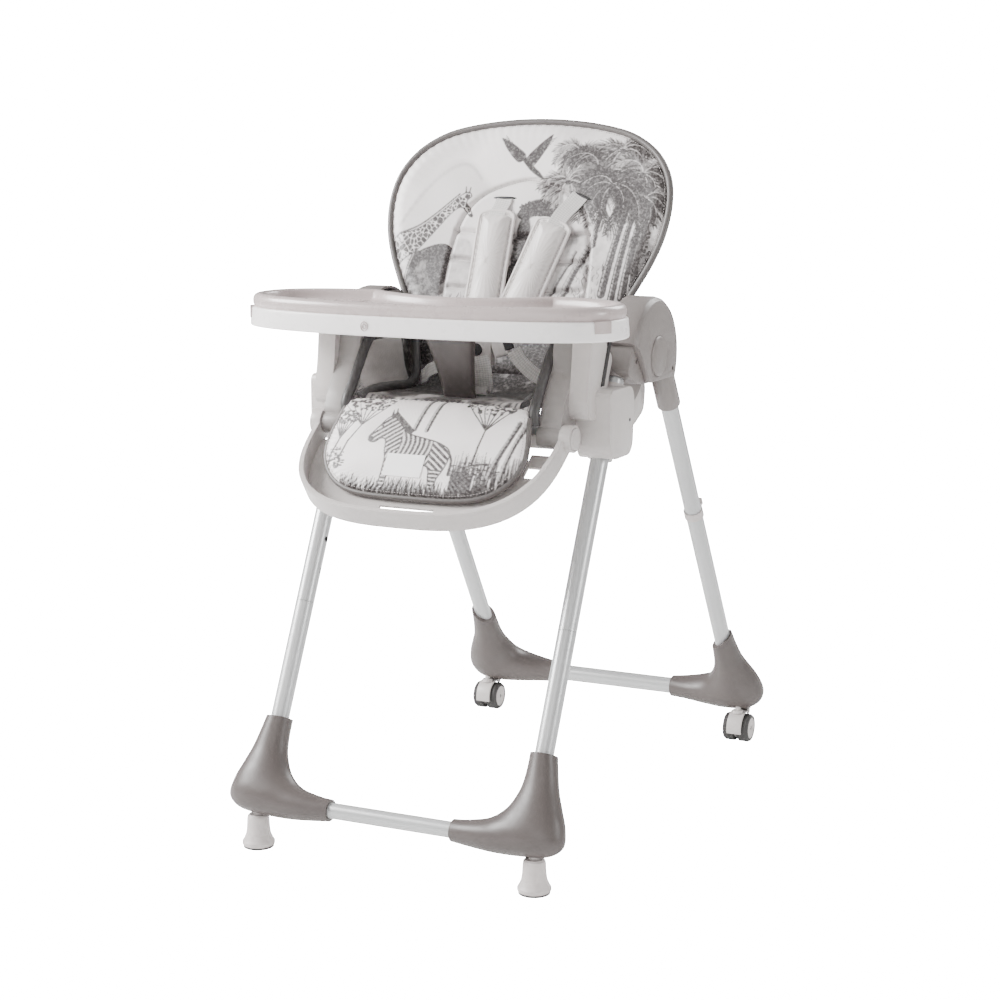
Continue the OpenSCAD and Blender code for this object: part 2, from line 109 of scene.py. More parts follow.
class Finish:
    """One material, built by node() calls on a Principled shader."""

    def __init__(self, name, **constants):
        self.material = bpy.data.materials.new(name)
        self.material.use_nodes = True
        self.tree = self.material.node_tree
        self.shader = self.tree.nodes["Principled BSDF"]
        for socket, value in constants.items():
            self.shader.inputs[socket.replace("_", " ")].default_value = value

    def node(self, kind, settings=None, inputs=None, output=0):
        made = self.tree.nodes.new(kind)
        for key, value in (settings or {}).items():
            setattr(made, key, value)
        for key, value in (inputs or {}).items():
            if isinstance(value, Field):
                self.tree.links.new(value.socket, made.inputs[key])
            else:
                made.inputs[key].default_value = value
        return Field(self, made.outputs[output])

    def place(self):
        return self.node("ShaderNodeTexCoord", output="Object")

    def noise(self, scale, detail=3.0, rough=0.55):
        return self.node("ShaderNodeTexNoise", {}, {"Vector": self.place(), "Scale": scale,
                         "Detail": detail, "Roughness": rough})

    def ramp(self, value, low, high, a=0.0, b=1.0):
        return self.node("ShaderNodeMapRange", {}, {0: value, 1: low, 2: high, 3: a, 4: b})

    def mix(self, factor, a, b):
        made = self.tree.nodes.new("ShaderNodeMix")
        made.data_type = "RGBA"
        for socket, value in ((made.inputs[0], factor), (made.inputs[6], a), (made.inputs[7], b)):
            if isinstance(value, Field):
                self.tree.links.new(value.socket, socket)
            else:
                socket.default_value = value if not isinstance(value, tuple) else (*value, 1)
        return Field(self, made.outputs[2])

    def bump(self, height, strength=0.3, distance=0.001, under=None):
        inputs = {"Strength": strength, "Distance": distance, "Height": height}
        if under:
            inputs["Normal"] = under
        return self.node("ShaderNodeBump", {}, inputs)

    def wear(self, **sockets):
        for socket, value in sockets.items():
            self.tree.links.new(value.socket, self.shader.inputs[socket.replace("_", " ")])
        return self


def shade(colour, k):
    return tuple(min(1.0, c * k) for c in colour)


def moulded(name, colour, rough=0.42, grain=900, depth=0.12, cloud=0.05, coat=0.0):
    """Injection-moulded plastic: spark-eroded grain, slow colour drift, handling marks."""
    f = Finish(name, Roughness=rough, Coat_Weight=coat, Coat_Roughness=0.18, IOR=1.47)
    drift = f.noise(7.0, 3.0)
    fleck = f.noise(grain * 1.7, 2.0)
    colour_now = f.mix(f.ramp(drift, 0.3, 0.7), shade(colour, 1 - cloud), shade(colour, 1 + cloud))
    colour_now = f.mix(f.ramp(fleck, 0.35, 0.75) * 0.10, colour_now, shade(colour, 0.72))
    rub = f.ramp(f.noise(23.0, 5.0, 0.7), 0.42, 0.72, -0.05, 0.09)
    grain_bump = f.bump(f.noise(grain, 2.0, 0.6), depth, 0.0006)
    return f.wear(Base_Color=colour_now, Roughness=rub + rough,
                  Normal=f.bump(f.noise(38.0, 2.0), 0.05, 0.002, grain_bump))


def coated_tube(name, colour):
    """Powder coat on steel tube: orange peel, slow tone drift and rubbed patches."""
    f = Finish(name, Roughness=0.34, Metallic=0.35, Coat_Weight=0.25, Coat_Roughness=0.2)
    peel = f.noise(420.0, 3.0)
    drift = f.noise(5.0, 2.0)
    scuff = f.ramp(f.noise(60.0, 6.0, 0.75), 0.6, 0.74)
    tone = f.mix(f.ramp(drift, 0.3, 0.7), shade(colour, 0.96), shade(colour, 1.03))
    tone = f.mix(scuff * 0.18, tone, shade(colour, 0.78))
    return f.wear(Base_Color=tone, Roughness=f.ramp(drift, 0.3, 0.7, 0.28, 0.38) + scuff * 0.12,
                  Normal=f.bump(peel, 0.12, 0.0005))


def rubber(name, colour):
    f = Finish(name, Roughness=0.7)
    dust = f.ramp(f.noise(45.0, 6.0, 0.7), 0.45, 0.75)
    return f.wear(Base_Color=f.mix(dust * 0.35, colour, shade(colour, 1.9)),
                  Roughness=dust * 0.15 + 0.62, Normal=f.bump(f.noise(700.0, 2.0), 0.3, 0.0005))


def plated(name, colour, rough=0.3):
    f = Finish(name, Roughness=rough, Metallic=0.9)
    brush = f.noise(260.0, 3.0)
    return f.wear(Base_Color=f.mix(brush, shade(colour, 0.86), colour),
                  Roughness=f.ramp(brush, 0.3, 0.7, rough - 0.08, rough + 0.12),
                  Normal=f.bump(brush, 0.15, 0.0003))


def webbing(name, colour):
    """Ribbed polyester webbing, woven across its own length by the strip's UV."""
    f = Finish(name, Roughness=0.75, Sheen_Weight=0.25)
    uv = f.node("ShaderNodeUVMap", {"uv_map": "weave"})
    wave = f.node("ShaderNodeTexWave", {"wave_type": "BANDS", "bands_direction": "Y"},
                  {"Vector": uv, "Scale": 95.0, "Distortion": 0.6, "Detail": 1.0})
    cross = f.node("ShaderNodeTexWave", {"wave_type": "BANDS", "bands_direction": "X"},
                   {"Vector": uv, "Scale": 70.0, "Distortion": 0.5, "Detail": 1.0})
    weave = wave * 0.6 + cross * 0.4
    return f.wear(Base_Color=f.mix(weave, shade(colour, 0.72), colour), Normal=f.bump(weave, 0.5, 0.0006))


def leatherette(name, paper, rough, ink=None):
    """Wipe-clean coated fabric with fine grain; the print is carried by the ink attribute."""
    f = Finish(name, Roughness=rough, Sheen_Weight=0.06, Coat_Weight=0.12, Coat_Roughness=0.35)
    pores = f.node("ShaderNodeTexVoronoi", {"feature": "F1"}, {"Vector": f.place(), "Scale": 620.0})
    soft = f.noise(16.0, 4.0, 0.6)
    base = f.mix(f.ramp(soft, 0.3, 0.7), shade(paper, 0.955), paper)
    rough_now = f.ramp(soft, 0.3, 0.7, rough - 0.05, rough + 0.06)
    if ink:
        mark = f.node("ShaderNodeAttribute", {"attribute_name": "ink"}, output="Fac")
        grain = f.ramp(f.noise(260.0, 3.0, 0.6), 0.3, 0.7, 0.86, 1.08)
        base = f.mix(mark * grain, base, ink)
    wrinkle = f.bump(f.noise(55.0, 3.0, 0.5), 0.10, 0.003)
    return f.wear(Base_Color=base, Roughness=rough_now, Normal=f.bump(pores, 0.10, 0.0004, wrinkle))


TUBE = coated_tube("tube_coat", (0.47, 0.475, 0.475))
BOOT = moulded("boot_grey", (0.082, 0.069, 0.065), 0.42, 800)
HUB = moulded("hub_grey", (0.19, 0.170, 0.162), 0.44, 800)
HUB_BUTTON = moulded("hub_button_grey", (0.18, 0.160, 0.151), 0.40, 900)
FOOT = moulded("foot_pale", (0.52, 0.48, 0.465), 0.42, 900)
PALE = moulded("housing_pale", (0.47, 0.44, 0.425), 0.40, 1000, 0.07, 0.03, 0.08)
MID_GREY = moulded("cheek_grey", (0.24, 0.222, 0.214), 0.42, 900, 0.10, 0.04)
WHITE = moulded("tray_white", (0.86, 0.83, 0.82), 0.32, 1300, 0.03, 0.015, 0.25)
INSERT = moulded("insert_grey", (0.44, 0.375, 0.365), 0.30, 1300, 0.03, 0.02, 0.3)
POST = moulded("post_grey", (0.075, 0.064, 0.062), 0.45, 900)
# near-black for dark parts, also used as painted shade in the strap slits and on the carriage sides
DARK = moulded("dark_detail_and_painted_shade", (0.018, 0.0175, 0.017), 0.5, 900)
TYRE = rubber("tyre_rubber", (0.03, 0.0285, 0.0275))
STEEL = plated("plated_steel", (0.55, 0.55, 0.56))
SCREW = plated("black_screw", (0.05, 0.05, 0.053), 0.4)
PRINT = leatherette("printed_cover", (0.86, 0.815, 0.80), 0.46, (0.022, 0.016, 0.015))
# painted shade: the lining's dark grey stands in for the shade under the tray
SHADED_LINING = leatherette("plain_lining_painted_shade", (0.34, 0.318, 0.308), 0.5)
PIPING = leatherette("piping_cover", (0.10, 0.09, 0.086), 0.5)
# painted shade: a near-black copy of the piping cover for the cords in the shade under the tray
SHADOW_PIPING = leatherette("piping_cover_painted_shade", (0.035, 0.033, 0.032), 0.5)
STRAP_PAD = leatherette("strap_pad_cover", (0.66, 0.62, 0.60), 0.44)
THREAD = leatherette("thread", (0.40, 0.37, 0.36), 0.7)
LABEL = leatherette("blank_label", (0.88, 0.87, 0.86), 0.55)
STRAP = webbing("harness_webbing", (0.62, 0.60, 0.58))

CAD_FINISH = {
    TUBE: "front_upper_tube front_lower_tube front_cross_bar rear_tube rear_cross_bar",
    BOOT: "front_boot rear_boot caster_brake", HUB: "front_hub rear_hub", HUB_BUTTON: "fold_button",
    FOOT: "bell_feet tray_hooks", TYRE: "foot_pads caster_tyres", STEEL: "pivot_bolts caster_axle",
    SCREW: "front_screws rear_screws seat_screws",
    PALE: "caster_housing caster_wheels carriage seat_shell backrest_shell legrest_frame legrest_button buckle_body",
    MID_GREY: "height_button seat_cheeks recline_handle", PRINT: "seat_pad back_pad calf_pad",
    STRAP: "lap_webbing", STRAP_PAD: "shoulder_pad", DARK: "buckle_button", WHITE: "tray_base tray_deck",
    POST: "crotch_post", INSERT: "tray_insert tray_insert_floor tray_release"}
FINISH_OF = {n: finish for finish, words in CAD_FINISH.items() for w in words.split()
             for n in frame["nodes"] if n == w or n in (w + "_left", w + "_right")}
BODY_OF = {n: b for b, members in frame["record"]["behaviour"]["bodies"].items() for n in members}
SLOT_OF = {s["node"]: s["material_slot"] for s in frame["record"]["subparts"]}
for name, part in frame["nodes"].items():
    part.data.materials.clear()
    part.data.materials.append(FINISH_OF[name].material)


# ------------------------------------------------------------------ mesh helpers
def placed(name, mesh):
    obj = bpy.data.objects.new(name, mesh)
    bpy.context.scene.collection.objects.link(obj)
    return obj


def raw(name, vertices, faces=(), edges=()):
    mesh = bpy.data.meshes.new(name)
    mesh.from_pydata([tuple(v) for v in vertices], edges, faces)
    return placed(name, mesh)


def worked(obj, weld=False, flatten=False, outward=True, split=False):
    """Mesh repairs in place: doubles welded, flat facets merged, normals turned out, big faces split."""
    bm = bmesh.new()
    bm.from_mesh(obj.data)
    if weld:
        bmesh.ops.remove_doubles(bm, verts=bm.verts, dist=1e-6)
    if flatten:
        bmesh.ops.dissolve_limit(bm, angle_limit=math.radians(0.8), verts=bm.verts, edges=bm.edges)
    if outward:
        bmesh.ops.recalc_face_normals(bm, faces=bm.faces)
    if split:
        bmesh.ops.triangulate(bm, faces=[q for q in bm.faces if len(q.verts) > 4])
    bm.to_mesh(obj.data)
    bm.free()
    return obj


def piece(name, vertices, faces, finish, smooth=35, split=False):
    obj = raw(name, vertices, faces)
    obj.data.validate()
    return finish_mesh(worked(obj, weld=True, split=split), finish, smooth)


def finish_mesh(obj, finish, smooth=35):
    obj.data.materials.clear()
    obj.data.materials.append(finish.material)
    obj.data.polygons.foreach_set("use_smooth", [True] * len(obj.data.polygons))
    obj.data.set_sharp_from_angle(angle=math.radians(smooth))
    return obj


def settle(obj):
    """Modifiers applied, so the piece is a plain mesh."""
    bpy.context.view_layer.update()
    done = bpy.data.meshes.new_from_object(obj.evaluated_get(bpy.context.evaluated_depsgraph_get()))
    obj.modifiers.clear()
    obj.data = done
    return obj


def attach(obj, body, *nodes, slot=None):
    if nodes:
        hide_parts(*nodes)
    slot or SLOT_OF[nodes[0]]
    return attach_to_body(obj, body)


def rounded(node, width):
    """The CAD piece with its edges broken, as a moulding has them."""
    obj = placed(node + "_moulding", frame["nodes"][node].data.copy())
    worked(obj, weld=True, flatten=True, outward=False)
    bevel = obj.modifiers.new("edge", "BEVEL")
    bevel.width, bevel.segments, bevel.limit_method = width / 1000, 3, "ANGLE"
    bevel.angle_limit, bevel.use_clamp_overlap = math.radians(28), True
    finish_mesh(settle(obj), FINISH_OF[node], 40)
    return attach(obj, BODY_OF[node], node)


def tube(points, radius, closed=False, sides=10):
    """Vertices and faces of a round tube along points (metres)."""
    p = np.array([tuple(q) for q in points], float)
    n = len(p)
    ahead = np.roll(p, -1, 0) - np.roll(p, 1, 0)
    if not closed:
        ahead[0], ahead[-1] = p[1] - p[0], p[-1] - p[-2]
    ahead /= np.linalg.norm(ahead, axis=1)[:, None] + 1e-12
    up = np.array((0.0, 0.0, 1.0)) if abs(ahead[0][2]) < 0.9 else np.array((1.0, 0.0, 0.0))
    rings = []
    for k in range(n):
        up = up - ahead[k] * (up @ ahead[k])
        up /= np.linalg.norm(up)
        side = np.cross(ahead[k], up)
        r = radius[k] if hasattr(radius, "__len__") else radius
        for i in range(sides):
            a = 2 * math.pi * i / sides
            rings.append(p[k] + (up * math.cos(a) + side * math.sin(a)) * r)
    faces = []
    for k in range(n if closed else n - 1):
        a, b = k * sides, ((k + 1) % n) * sides
        faces += [(a + i, a + (i + 1) % sides, b + (i + 1) % sides, b + i) for i in range(sides)]
    if not closed:
        faces += [tuple(range(sides))[::-1], tuple(range((n - 1) * sides, n * sides))]
    return rings, faces


def merged(*solids):
    vertices, faces = [], []
    for v, f in solids:
        faces += [tuple(i + len(vertices) for i in q) for q in f]
        vertices += [tuple(x) for x in v]
    return vertices, faces


def smooth_line(points, steps=8, closed=False):
    """Catmull-Rom curve through points of any dimension."""
    p = np.array(points, float)
    n = len(p)
    out = []
    for k in range(n if closed else n - 1):
        a, b, c, d = (p[(k + j) % n] if closed else p[min(max(k + j, 0), n - 1)] for j in (-1, 0, 1, 2))
        for t in np.linspace(0, 1, steps, endpoint=False):
            out.append(0.5 * ((2 * b) + (c - a) * t + (2 * a - 5 * b + 4 * c - d) * t * t
                              + (3 * b - a - 3 * c + d) * t ** 3))
    if not closed:
        out.append(p[-1])
    return np.array(out)


def even(points, count, closed=True):
    """The same line with count points at equal spacing."""
    p = np.array(points, float)
    if closed:
        p = np.vstack([p, p[:1]])
    run = np.concatenate([[0], np.cumsum(np.linalg.norm(np.diff(p, axis=0), axis=1))])
    at = np.linspace(0, run[-1], count, endpoint=not closed)
    return np.stack([np.interp(at, run, p[:, i]) for i in range(p.shape[1])], 1)


def lofted(rings, cap=True):
    """Rings of equal length joined into one closed skin."""
    n = len(rings[0])
    vertices = [tuple(v) for r in rings for v in r]
    faces = []
    for k in range(len(rings) - 1):
        faces += [(k * n + i, k * n + (i + 1) % n, (k + 1) * n + (i + 1) % n, (k + 1) * n + i) for i in range(n)]
    if cap:
        faces += [tuple(range(n))[::-1], tuple(range((len(rings) - 1) * n, len(rings) * n))]
    return vertices, faces


BOX = ((3, 2, 1, 0), (4, 5, 6, 7), (0, 1, 5, 4), (1, 2, 6, 5), (2, 3, 7, 6), (3, 0, 4, 7))


def soft_box(name, centre, half, finish, body, slot, corner=3.0, turn=0.0, segments=4):
    """A rounded block, centre and half sizes in millimetres, turned about the depth axis."""
    c, s = math.cos(turn), math.sin(turn)
    corners = []
    for dz in (-1, 1):
        for dx, dy in ((-1, -1), (1, -1), (1, 1), (-1, 1)):
            a, b = dx * half[0], dz * half[2]
            corners.append(spot(centre[0] + a * c - b * s, centre[1] + dy * half[1], centre[2] + a * s + b * c))
    obj = piece(name, corners, BOX, finish)
    bevel = obj.modifiers.new("edge", "BEVEL")
    bevel.width, bevel.segments, bevel.limit_method = corner / 1000, segments, "NONE"
    finish_mesh(settle(obj), finish, 40)
    return attach(obj, body, slot=slot)


# ------------------------------------------------------------------ boots
# rows of a boot section: inner x, z, outer x, z, half depth, from the tube mouth to the cross bar mouth, mm
FRONT_ROWS = [(-20.5, 208, 20.5, 208, 20.5), (-21, 184, 26, 184, 21), (-24, 160, 33, 158, 22.5),
              (-30, 143, 43, 132, 26), (-37, 130, 52, 108, 29), (-45, 121, 54, 82, 31), (-55, 113, 34, 66, 31),
              (-68, 107, -5, 61, 28), (-85, 103, -50, 60, 25), (-103, 100, -90, 63, 20.5),
              (-118, 99, -118, 66, 16.5)]
REAR_ROWS = [(-20, 214, 18, 242, 20.5), (-21, 198, 22, 212, 21.5), (-23, 178, 29, 180, 23), (-27, 160, 39, 156, 26.5),
             (-34, 145, 49, 131, 31), (-43, 132, 54, 102, 34), (-54, 124, 40, 80, 35), (-68, 119, 2, 72, 32),
             (-85, 115, -45, 73, 27), (-102, 113, -85, 75, 22), (-117, 112, -117, 75, 18.5)]


def boot(node, side, rows, foot_y, half, lean, sides=48):
    """Corner boot blown out round the tube and drawn in to the cross bar, capped at both mouths."""
    fine = smooth_line(rows, 6)
    fine = np.vstack([fine[0], fine, fine[-1]])
    rings = []
    for k, (ax, az, bx, bz, depth) in enumerate(fine):
        centre, halfway = np.array([ax + bx, az + bz]) / 2, np.array([bx - ax, bz - az]) / 2
        lip = {0: 0.80, len(fine) - 1: 0.80}.get(k, 1.0)
        ring = []
        for i in range(sides):
            a = 2 * math.pi * i / sides
            u = centre + halfway * math.cos(a) * lip
            y, z = -depth * lip * math.sin(a), u[1]
            c, s = math.cos(lean), math.sin(lean)
            ring.append(spot(side * (half + u[0]), foot_y + y * c + z * s, -y * s + z * c))
        rings.append(ring)
    v, f = lofted(rings)
    obj = piece(node + "_shell", v, f, BOOT, 50)
    return attach(obj, BODY_OF[node], node)


for side_name, side in SIDES:
    boot("front_boot_" + side_name, side, FRONT_ROWS, -418.6, 219, math.radians(26))
    boot("rear_boot_" + side_name, side, REAR_ROWS, 514.9, 229, -math.radians(31.8))
    for node, width in (("front_hub", 4.0), ("rear_hub", 2.2), ("fold_button", 1.2), ("carriage", 6.0),
                        ("caster_housing", 1.2), ("caster_brake", 1.5), ("height_button", 1.5),
                        ("legrest_button", 1.5)):
        rounded(node + "_" + side_name, width)
for node, width in (("seat_cheeks", 5.0), ("seat_shell", 2.5), ("backrest_shell", 2.5), ("legrest_frame", 2.8),
                    ("recline_handle", 1.5), ("tray_release", 1.5), ("crotch_post", 4.0), ("buckle_body", 4.0)):
    rounded(node, width)


# ------------------------------------------------------------------ tray
TRAY_MID, TRAY_HALF, TRAY_FRONT, TRAY_REAR, TRAY_Z = -236.0, 298.0, 115.0, 120.0, 774.0
BAY_HALF, BAY_MID, BAY_DEEP = 150.0, -100.0, 70.0      # bay for the child's tummy


def tray_line(count=420):
    """Outline of the tray in plan, with the bay for the child's tummy, in millimetres."""
    a = np.arange(720) * math.pi / 360
    c, s = (np.copysign(np.abs(q) ** 0.8, q) for q in (np.cos(a), np.sin(a)))
    x, y = TRAY_HALF * c, TRAY_MID + np.where(s > 0, TRAY_REAR, TRAY_FRONT) * s
    bay = (x / BAY_HALF) ** 2 + ((y - BAY_MID) / BAY_DEEP) ** 2 < 1
    y[bay] = BAY_MID - BAY_DEEP * np.sqrt(np.clip(1 - (x[bay] / BAY_HALF) ** 2, 0, 1))
    line = even(np.stack([x, y], 1), count)
    for _ in range(14):
        line = line * 0.5 + 0.25 * (np.roll(line, 1, 0) + np.roll(line, -1, 0))
    return even(line, count)


LINE = tray_line()
ahead = np.roll(LINE, -1, 0) - np.roll(LINE, 1, 0)
INWARD = np.stack([-ahead[:, 1], ahead[:, 0]], 1) / np.linalg.norm(ahead, axis=1)[:, None]


def tray_ring(inset, z):
    p = LINE + INWARD * inset
    return [spot(x, y, z if not callable(z) else z(x, y)) for x, y in p]


def arc(inset, z, r, start, stop, steps=5):
    """Quarter-round corner of a moulded wall, as (inset, height) pairs."""
    return [(inset + r * math.cos(math.radians(a)), z + r * math.sin(math.radians(a)))
            for a in np.linspace(start, stop, steps)]


rim_z = TRAY_Z + 29
base_profile = ([(5.0, TRAY_Z + 14), (5.0, TRAY_Z + 2)] + arc(3.6, TRAY_Z + 1.6, 1.4, 0, -90)
                + arc(3.2, TRAY_Z + 3, 3, -90, -180) + [(0.6, TRAY_Z + 12), (1.6, TRAY_Z + 22)]
                + arc(4.4, rim_z - 3.0, 2.6, 170, 90) + [(9, rim_z - 0.6), (9, TRAY_Z + 16)])
wall = [tray_ring(i, z) for i, z in base_profile]
attach(piece("tray_base_wall", *lofted(wall + [wall[0]], cap=False), WHITE, 50), "tray", "tray_base")
count = len(LINE)
deck = [tuple(range(count)), tuple(range(2 * count - 1, count - 1, -1))]
deck += [(i, (i + 1) % count, count + (i + 1) % count, count + i) for i in range(count)]
attach(piece("tray_base_deck", tray_ring(7.5, TRAY_Z + 23.0) + tray_ring(7.5, TRAY_Z + 13.2), deck, WHITE, 40, True),
       "tray", "tray_deck")
for side_name, side in SIDES[::-1]:        # rails the tray runs on
    soft_box("tray_rail_" + side_name, (side * 178, -200, TRAY_Z + 7), (12, 64, 7), WHITE, "tray", "tray", 2.0, 0.0,
             2)

insert_top = rim_z + 19


def rim_height(x, y):
    """The insert's rim dips over the tummy bay and swells at its two ends."""
    return insert_top - 3.5 * math.exp(-((x / 120) ** 2)) * (1 if y > TRAY_MID else 0.4)


def insert_floor(x, y):
    """Floor with a raised ring round a shallow cup recess at each end."""
    z = rim_z + 3.0
    for side in (-1, 1):
        d = math.hypot(x - side * 232, y - TRAY_MID)
        z += 3.2 * math.exp(-((d - 44) / 5.0) ** 2) - 3.0 * min(1.0, max(0.0, 38 - d) / 8)
    return z


rings = [tray_ring(inset, rim_z + up) for inset, up in ((6.5, -3.0), (6.0, 1.0), (4.6, 4.5), (4.4, 10), (5.6, 14.5))]
for inset, drop in ((8.0, 1.6), (11.0, 0.2), (14.5, 0.0), (18.0, 1.0), (20.6, 4.0), (22.2, 8.0), (24.0, 12.0),
                    (27.0, 14.6), (31, 15.6)):
    rings.append(tray_ring(inset, lambda x, y, drop=drop: rim_height(x, y) - drop))
edge_line = LINE + INWARD * 31
for k in range(1, 30):                     # floor of the insert, drawn in to its middle line
    share = k / 29
    spine = np.clip(edge_line[:, 0], -190, 190) * 0.98
    target = np.stack([spine, np.full(count, -252.0) + 22 * np.clip(np.abs(spine) / 190, 0, 1)], 1)
    p = edge_line * (1 - share) + target * share
    rings.append([spot(x, y, min(insert_floor(x, y), rim_height(x, y) - 10) if share > 0.08
                       else rim_height(x, y) - 15.8) for x, y in p])
v, f = lofted(rings, cap=False)
f += [(i, len(v), (i + 1) % count) for i in range(count)]
v.append(spot(0.0, TRAY_MID, rim_z - 3.0))
attach(piece("tray_insert_bowl", v, f, INSERT, 60), "tray_insert", "tray_insert", "tray_insert_floor")


# ------------------------------------------------------------------ print
def off_segment(u, v, a, b):
    """Distance of each point from the segment a-b, and its share along it."""
    d = b - a
    t = np.clip(((u - a[0]) * d[0] + (v - a[1]) * d[1]) / (d @ d + 1e-9), 0, 1)
    return np.hypot(u - a[0] - d[0] * t, v - a[1] - d[1] * t), t


def blend_cells(g, iy, ix, fy, fx):
    return ((g[iy, ix] * (1 - fx) + g[iy, ix + 1] * fx) * (1 - fy)
            + (g[iy + 1, ix] * (1 - fx) + g[iy + 1, ix + 1] * fx) * fy)


class Drawing:
    """Ink wash drawing on a grid of the cover's own (u, v) millimetres."""

    def __init__(self, u0, u1, v0, v1, seed=4):
        self.u0, self.v0, self.step = u0, v0, 0.8
        self.ink = np.zeros((int((v1 - v0) / self.step) + 1, int((u1 - u0) / self.step) + 1))
        self.random = np.random.default_rng(seed)
        self.cloud = self.noise(6) * 0.6 + self.noise(14) * 0.4

    def noise(self, cell):
        h, w = self.ink.shape
        g = self.random.random((int(h * self.step / cell) + 3, int(w * self.step / cell) + 3))
        y, x = np.arange(h)[:, None] * self.step / cell, np.arange(w)[None, :] * self.step / cell
        iy, ix = y.astype(int), x.astype(int)
        fy, fx = y - iy, x - ix
        fy, fx = fy * fy * (3 - 2 * fy), fx * fx * (3 - 2 * fx)
        return blend_cells(g, iy, ix, fy, fx)

    def window(self, low, high, pad):
        h, w = self.ink.shape
        origin = np.array((self.u0, self.v0))
        a = np.clip(((np.array(low) - pad - origin) / self.step).astype(int), 0, [w, h])
        b = np.clip(((np.array(high) + pad - origin) / self.step).astype(int) + 2, 0, [w, h])
        u = self.u0 + np.arange(a[0], b[0]) * self.step
        v = self.v0 + np.arange(a[1], b[1]) * self.step
        return (slice(a[1], b[1]), slice(a[0], b[0])), u[None, :], v[:, None]

    def lay(self, place, cover, tone):
        self.ink[place] = self.ink[place] * (1 - cover) + tone * cover

    def stroke(self, points, wide, thin=None, tone=0.8, soft=0.5, strength=1.0):
        """A brush line that tapers from wide to thin."""
        thin = wide if thin is None else thin
        p = np.array(points, float)
        n = len(p) - 1
        for k in range(n):
            a, b = p[k], p[k + 1]
            r0, r1 = (wide + (thin - wide) * k / n) / 2, (wide + (thin - wide) * (k + 1) / n) / 2
            place, u, v = self.window(np.minimum(a, b), np.maximum(a, b), max(r0, r1) + 2)
            far, t = off_segment(u, v, a, b)
            self.lay(place, strength * np.clip(0.5 - (far - r0 - (r1 - r0) * t) / (2 * soft), 0, 1), tone)

    def curve(self, points, steps, *brush):
        self.stroke(smooth_line(points, steps), *brush)

    def within(self, outline, steps, pad):
        """Window over a closed outline, its points, and how far inside the line each one lies."""
        p = smooth_line(outline, steps, True)
        place, u, v = self.window(p.min(0), p.max(0), pad)
        inside, near = np.zeros((v.size, u.size), bool), np.full((v.size, u.size), 1e9)
        for a, b in zip(p, np.roll(p, -1, 0)):
            if a[1] != b[1]:
                inside ^= ((a[1] > v) != (b[1] > v)) & (u < (b[0] - a[0]) * (v - a[1]) / (b[1] - a[1]) + a[0])
            near = np.minimum(near, off_segment(u, v, a, b)[0])
        return place, u + 0 * v, v + 0 * u, np.where(inside, near, -near)

    def patch(self, outline, tone, soft=0.8, strength=1.0, mottle=0.0):
        """A filled shape with a wash inside."""
        place, _, _, depth = self.within(outline, 6, 3)
        cover = np.clip(0.5 + depth / (2 * soft), 0, 1) * strength
        self.lay(place, cover, np.clip(tone + mottle * (self.cloud[place] - 0.5) * 2, 0, 1))

    def blot(self, u0, v0, ru, rv, tone, strength=1.0):
        """A soft round wash."""
        r = max(ru, rv)
        place, u, v = self.window((u0 - r, v0 - r), (u0 + r, v0 + r), 2)
        far = np.hypot((u - u0) / ru, (v - v0) / rv)
        self.lay(place, np.clip((1 - far + 0.5 * (self.cloud[place] - 0.5)) / 0.35, 0, 1) * strength, tone)

    def sample(self, u, v):
        h, w = self.ink.shape
        x, y = (np.clip((q - q0) / self.step, 0, n - 1.001) for q, q0, n in ((u, self.u0, w), (v, self.v0, h)))
        ix, iy = x.astype(int), y.astype(int)
        return blend_cells(self.ink, iy, ix, y - iy, x - ix)

    def coat(self, outline, cell, tone, ground=0.08, seam=0.16):
        """An animal's blotched coat: cells with pale seams between them."""
        place, u, v, depth = self.within(outline, 5, 2)
        many = int(np.ptp(u) * np.ptp(v) / cell ** 2)
        seeds = np.stack([q.min() + np.ptp(q) * self.random.random(many) for q in (u, v)], 1)
        first, second = np.full(u.shape, 1e9), np.full(u.shape, 1e9)
        for a, b in seeds:
            far = np.hypot(u - a, v - b)
            second = np.minimum(second, np.maximum(far, first))
            first = np.minimum(first, far)
        blotch = np.clip(((second - first) / cell - seam) / 0.12, 0, 1) * np.clip(np.abs(depth) / 1.6, 0, 1)
        self.lay(place, np.clip(0.5 + depth / 1.2, 0, 1),
                 ground + (tone - ground) * blotch * (0.75 + 0.4 * self.cloud[place]))

    def stripes(self, outline, phase, tone, ground=0.08):
        """A striped coat; phase(u, v) counts the stripes."""
        place, u, v, depth = self.within(outline, 5, 2)
        wave = np.sin(2 * math.pi * (phase(u, v) + 0.12 * (self.cloud[place] - 0.5)))
        band = np.clip((wave - 0.1) / 0.35 + 0.5, 0, 1)
        self.lay(place, np.clip(0.5 + depth / 1.2, 0, 1), ground + (tone - ground) * band)

    # ---- things drawn
    def frond(self, u, v, reach, turn, tone):
        rnd = self.random
        spine = []
        for k in range(9):
            t = k / 8
            a = turn - t * (1 if math.cos(turn) > 0 else -1)
            spine.append((u + reach * t * math.cos(a), v + reach * t * math.sin(a) - reach * 0.22 * t * t))
        fine = smooth_line(spine, 3)
        for k in range(2, len(fine)):
            d = fine[k] - fine[k - 1]
            a0 = math.atan2(d[1], d[0])
            size = reach * 0.42 * math.sin(math.pi * (0.10 + 0.84 * k / len(fine)))
            for s in (-1, 1):
                a = a0 + s * (0.62 + 0.2 * rnd.random())
                tip = fine[k] + size * (0.75 + 0.4 * rnd.random()) * np.array([math.cos(a), math.sin(a) - 0.25])
                self.stroke([fine[k], (fine[k] + tip) / 2 + np.array([0, 0.9]), tip], 2.3, 0.5,
                            tone * (0.55 + 0.6 * rnd.random()) * (1.0 if s < 0 else 0.72), 0.5, 0.92)
        self.stroke(spine, 1.5, 0.6, 0.06, 0.5, 0.8)

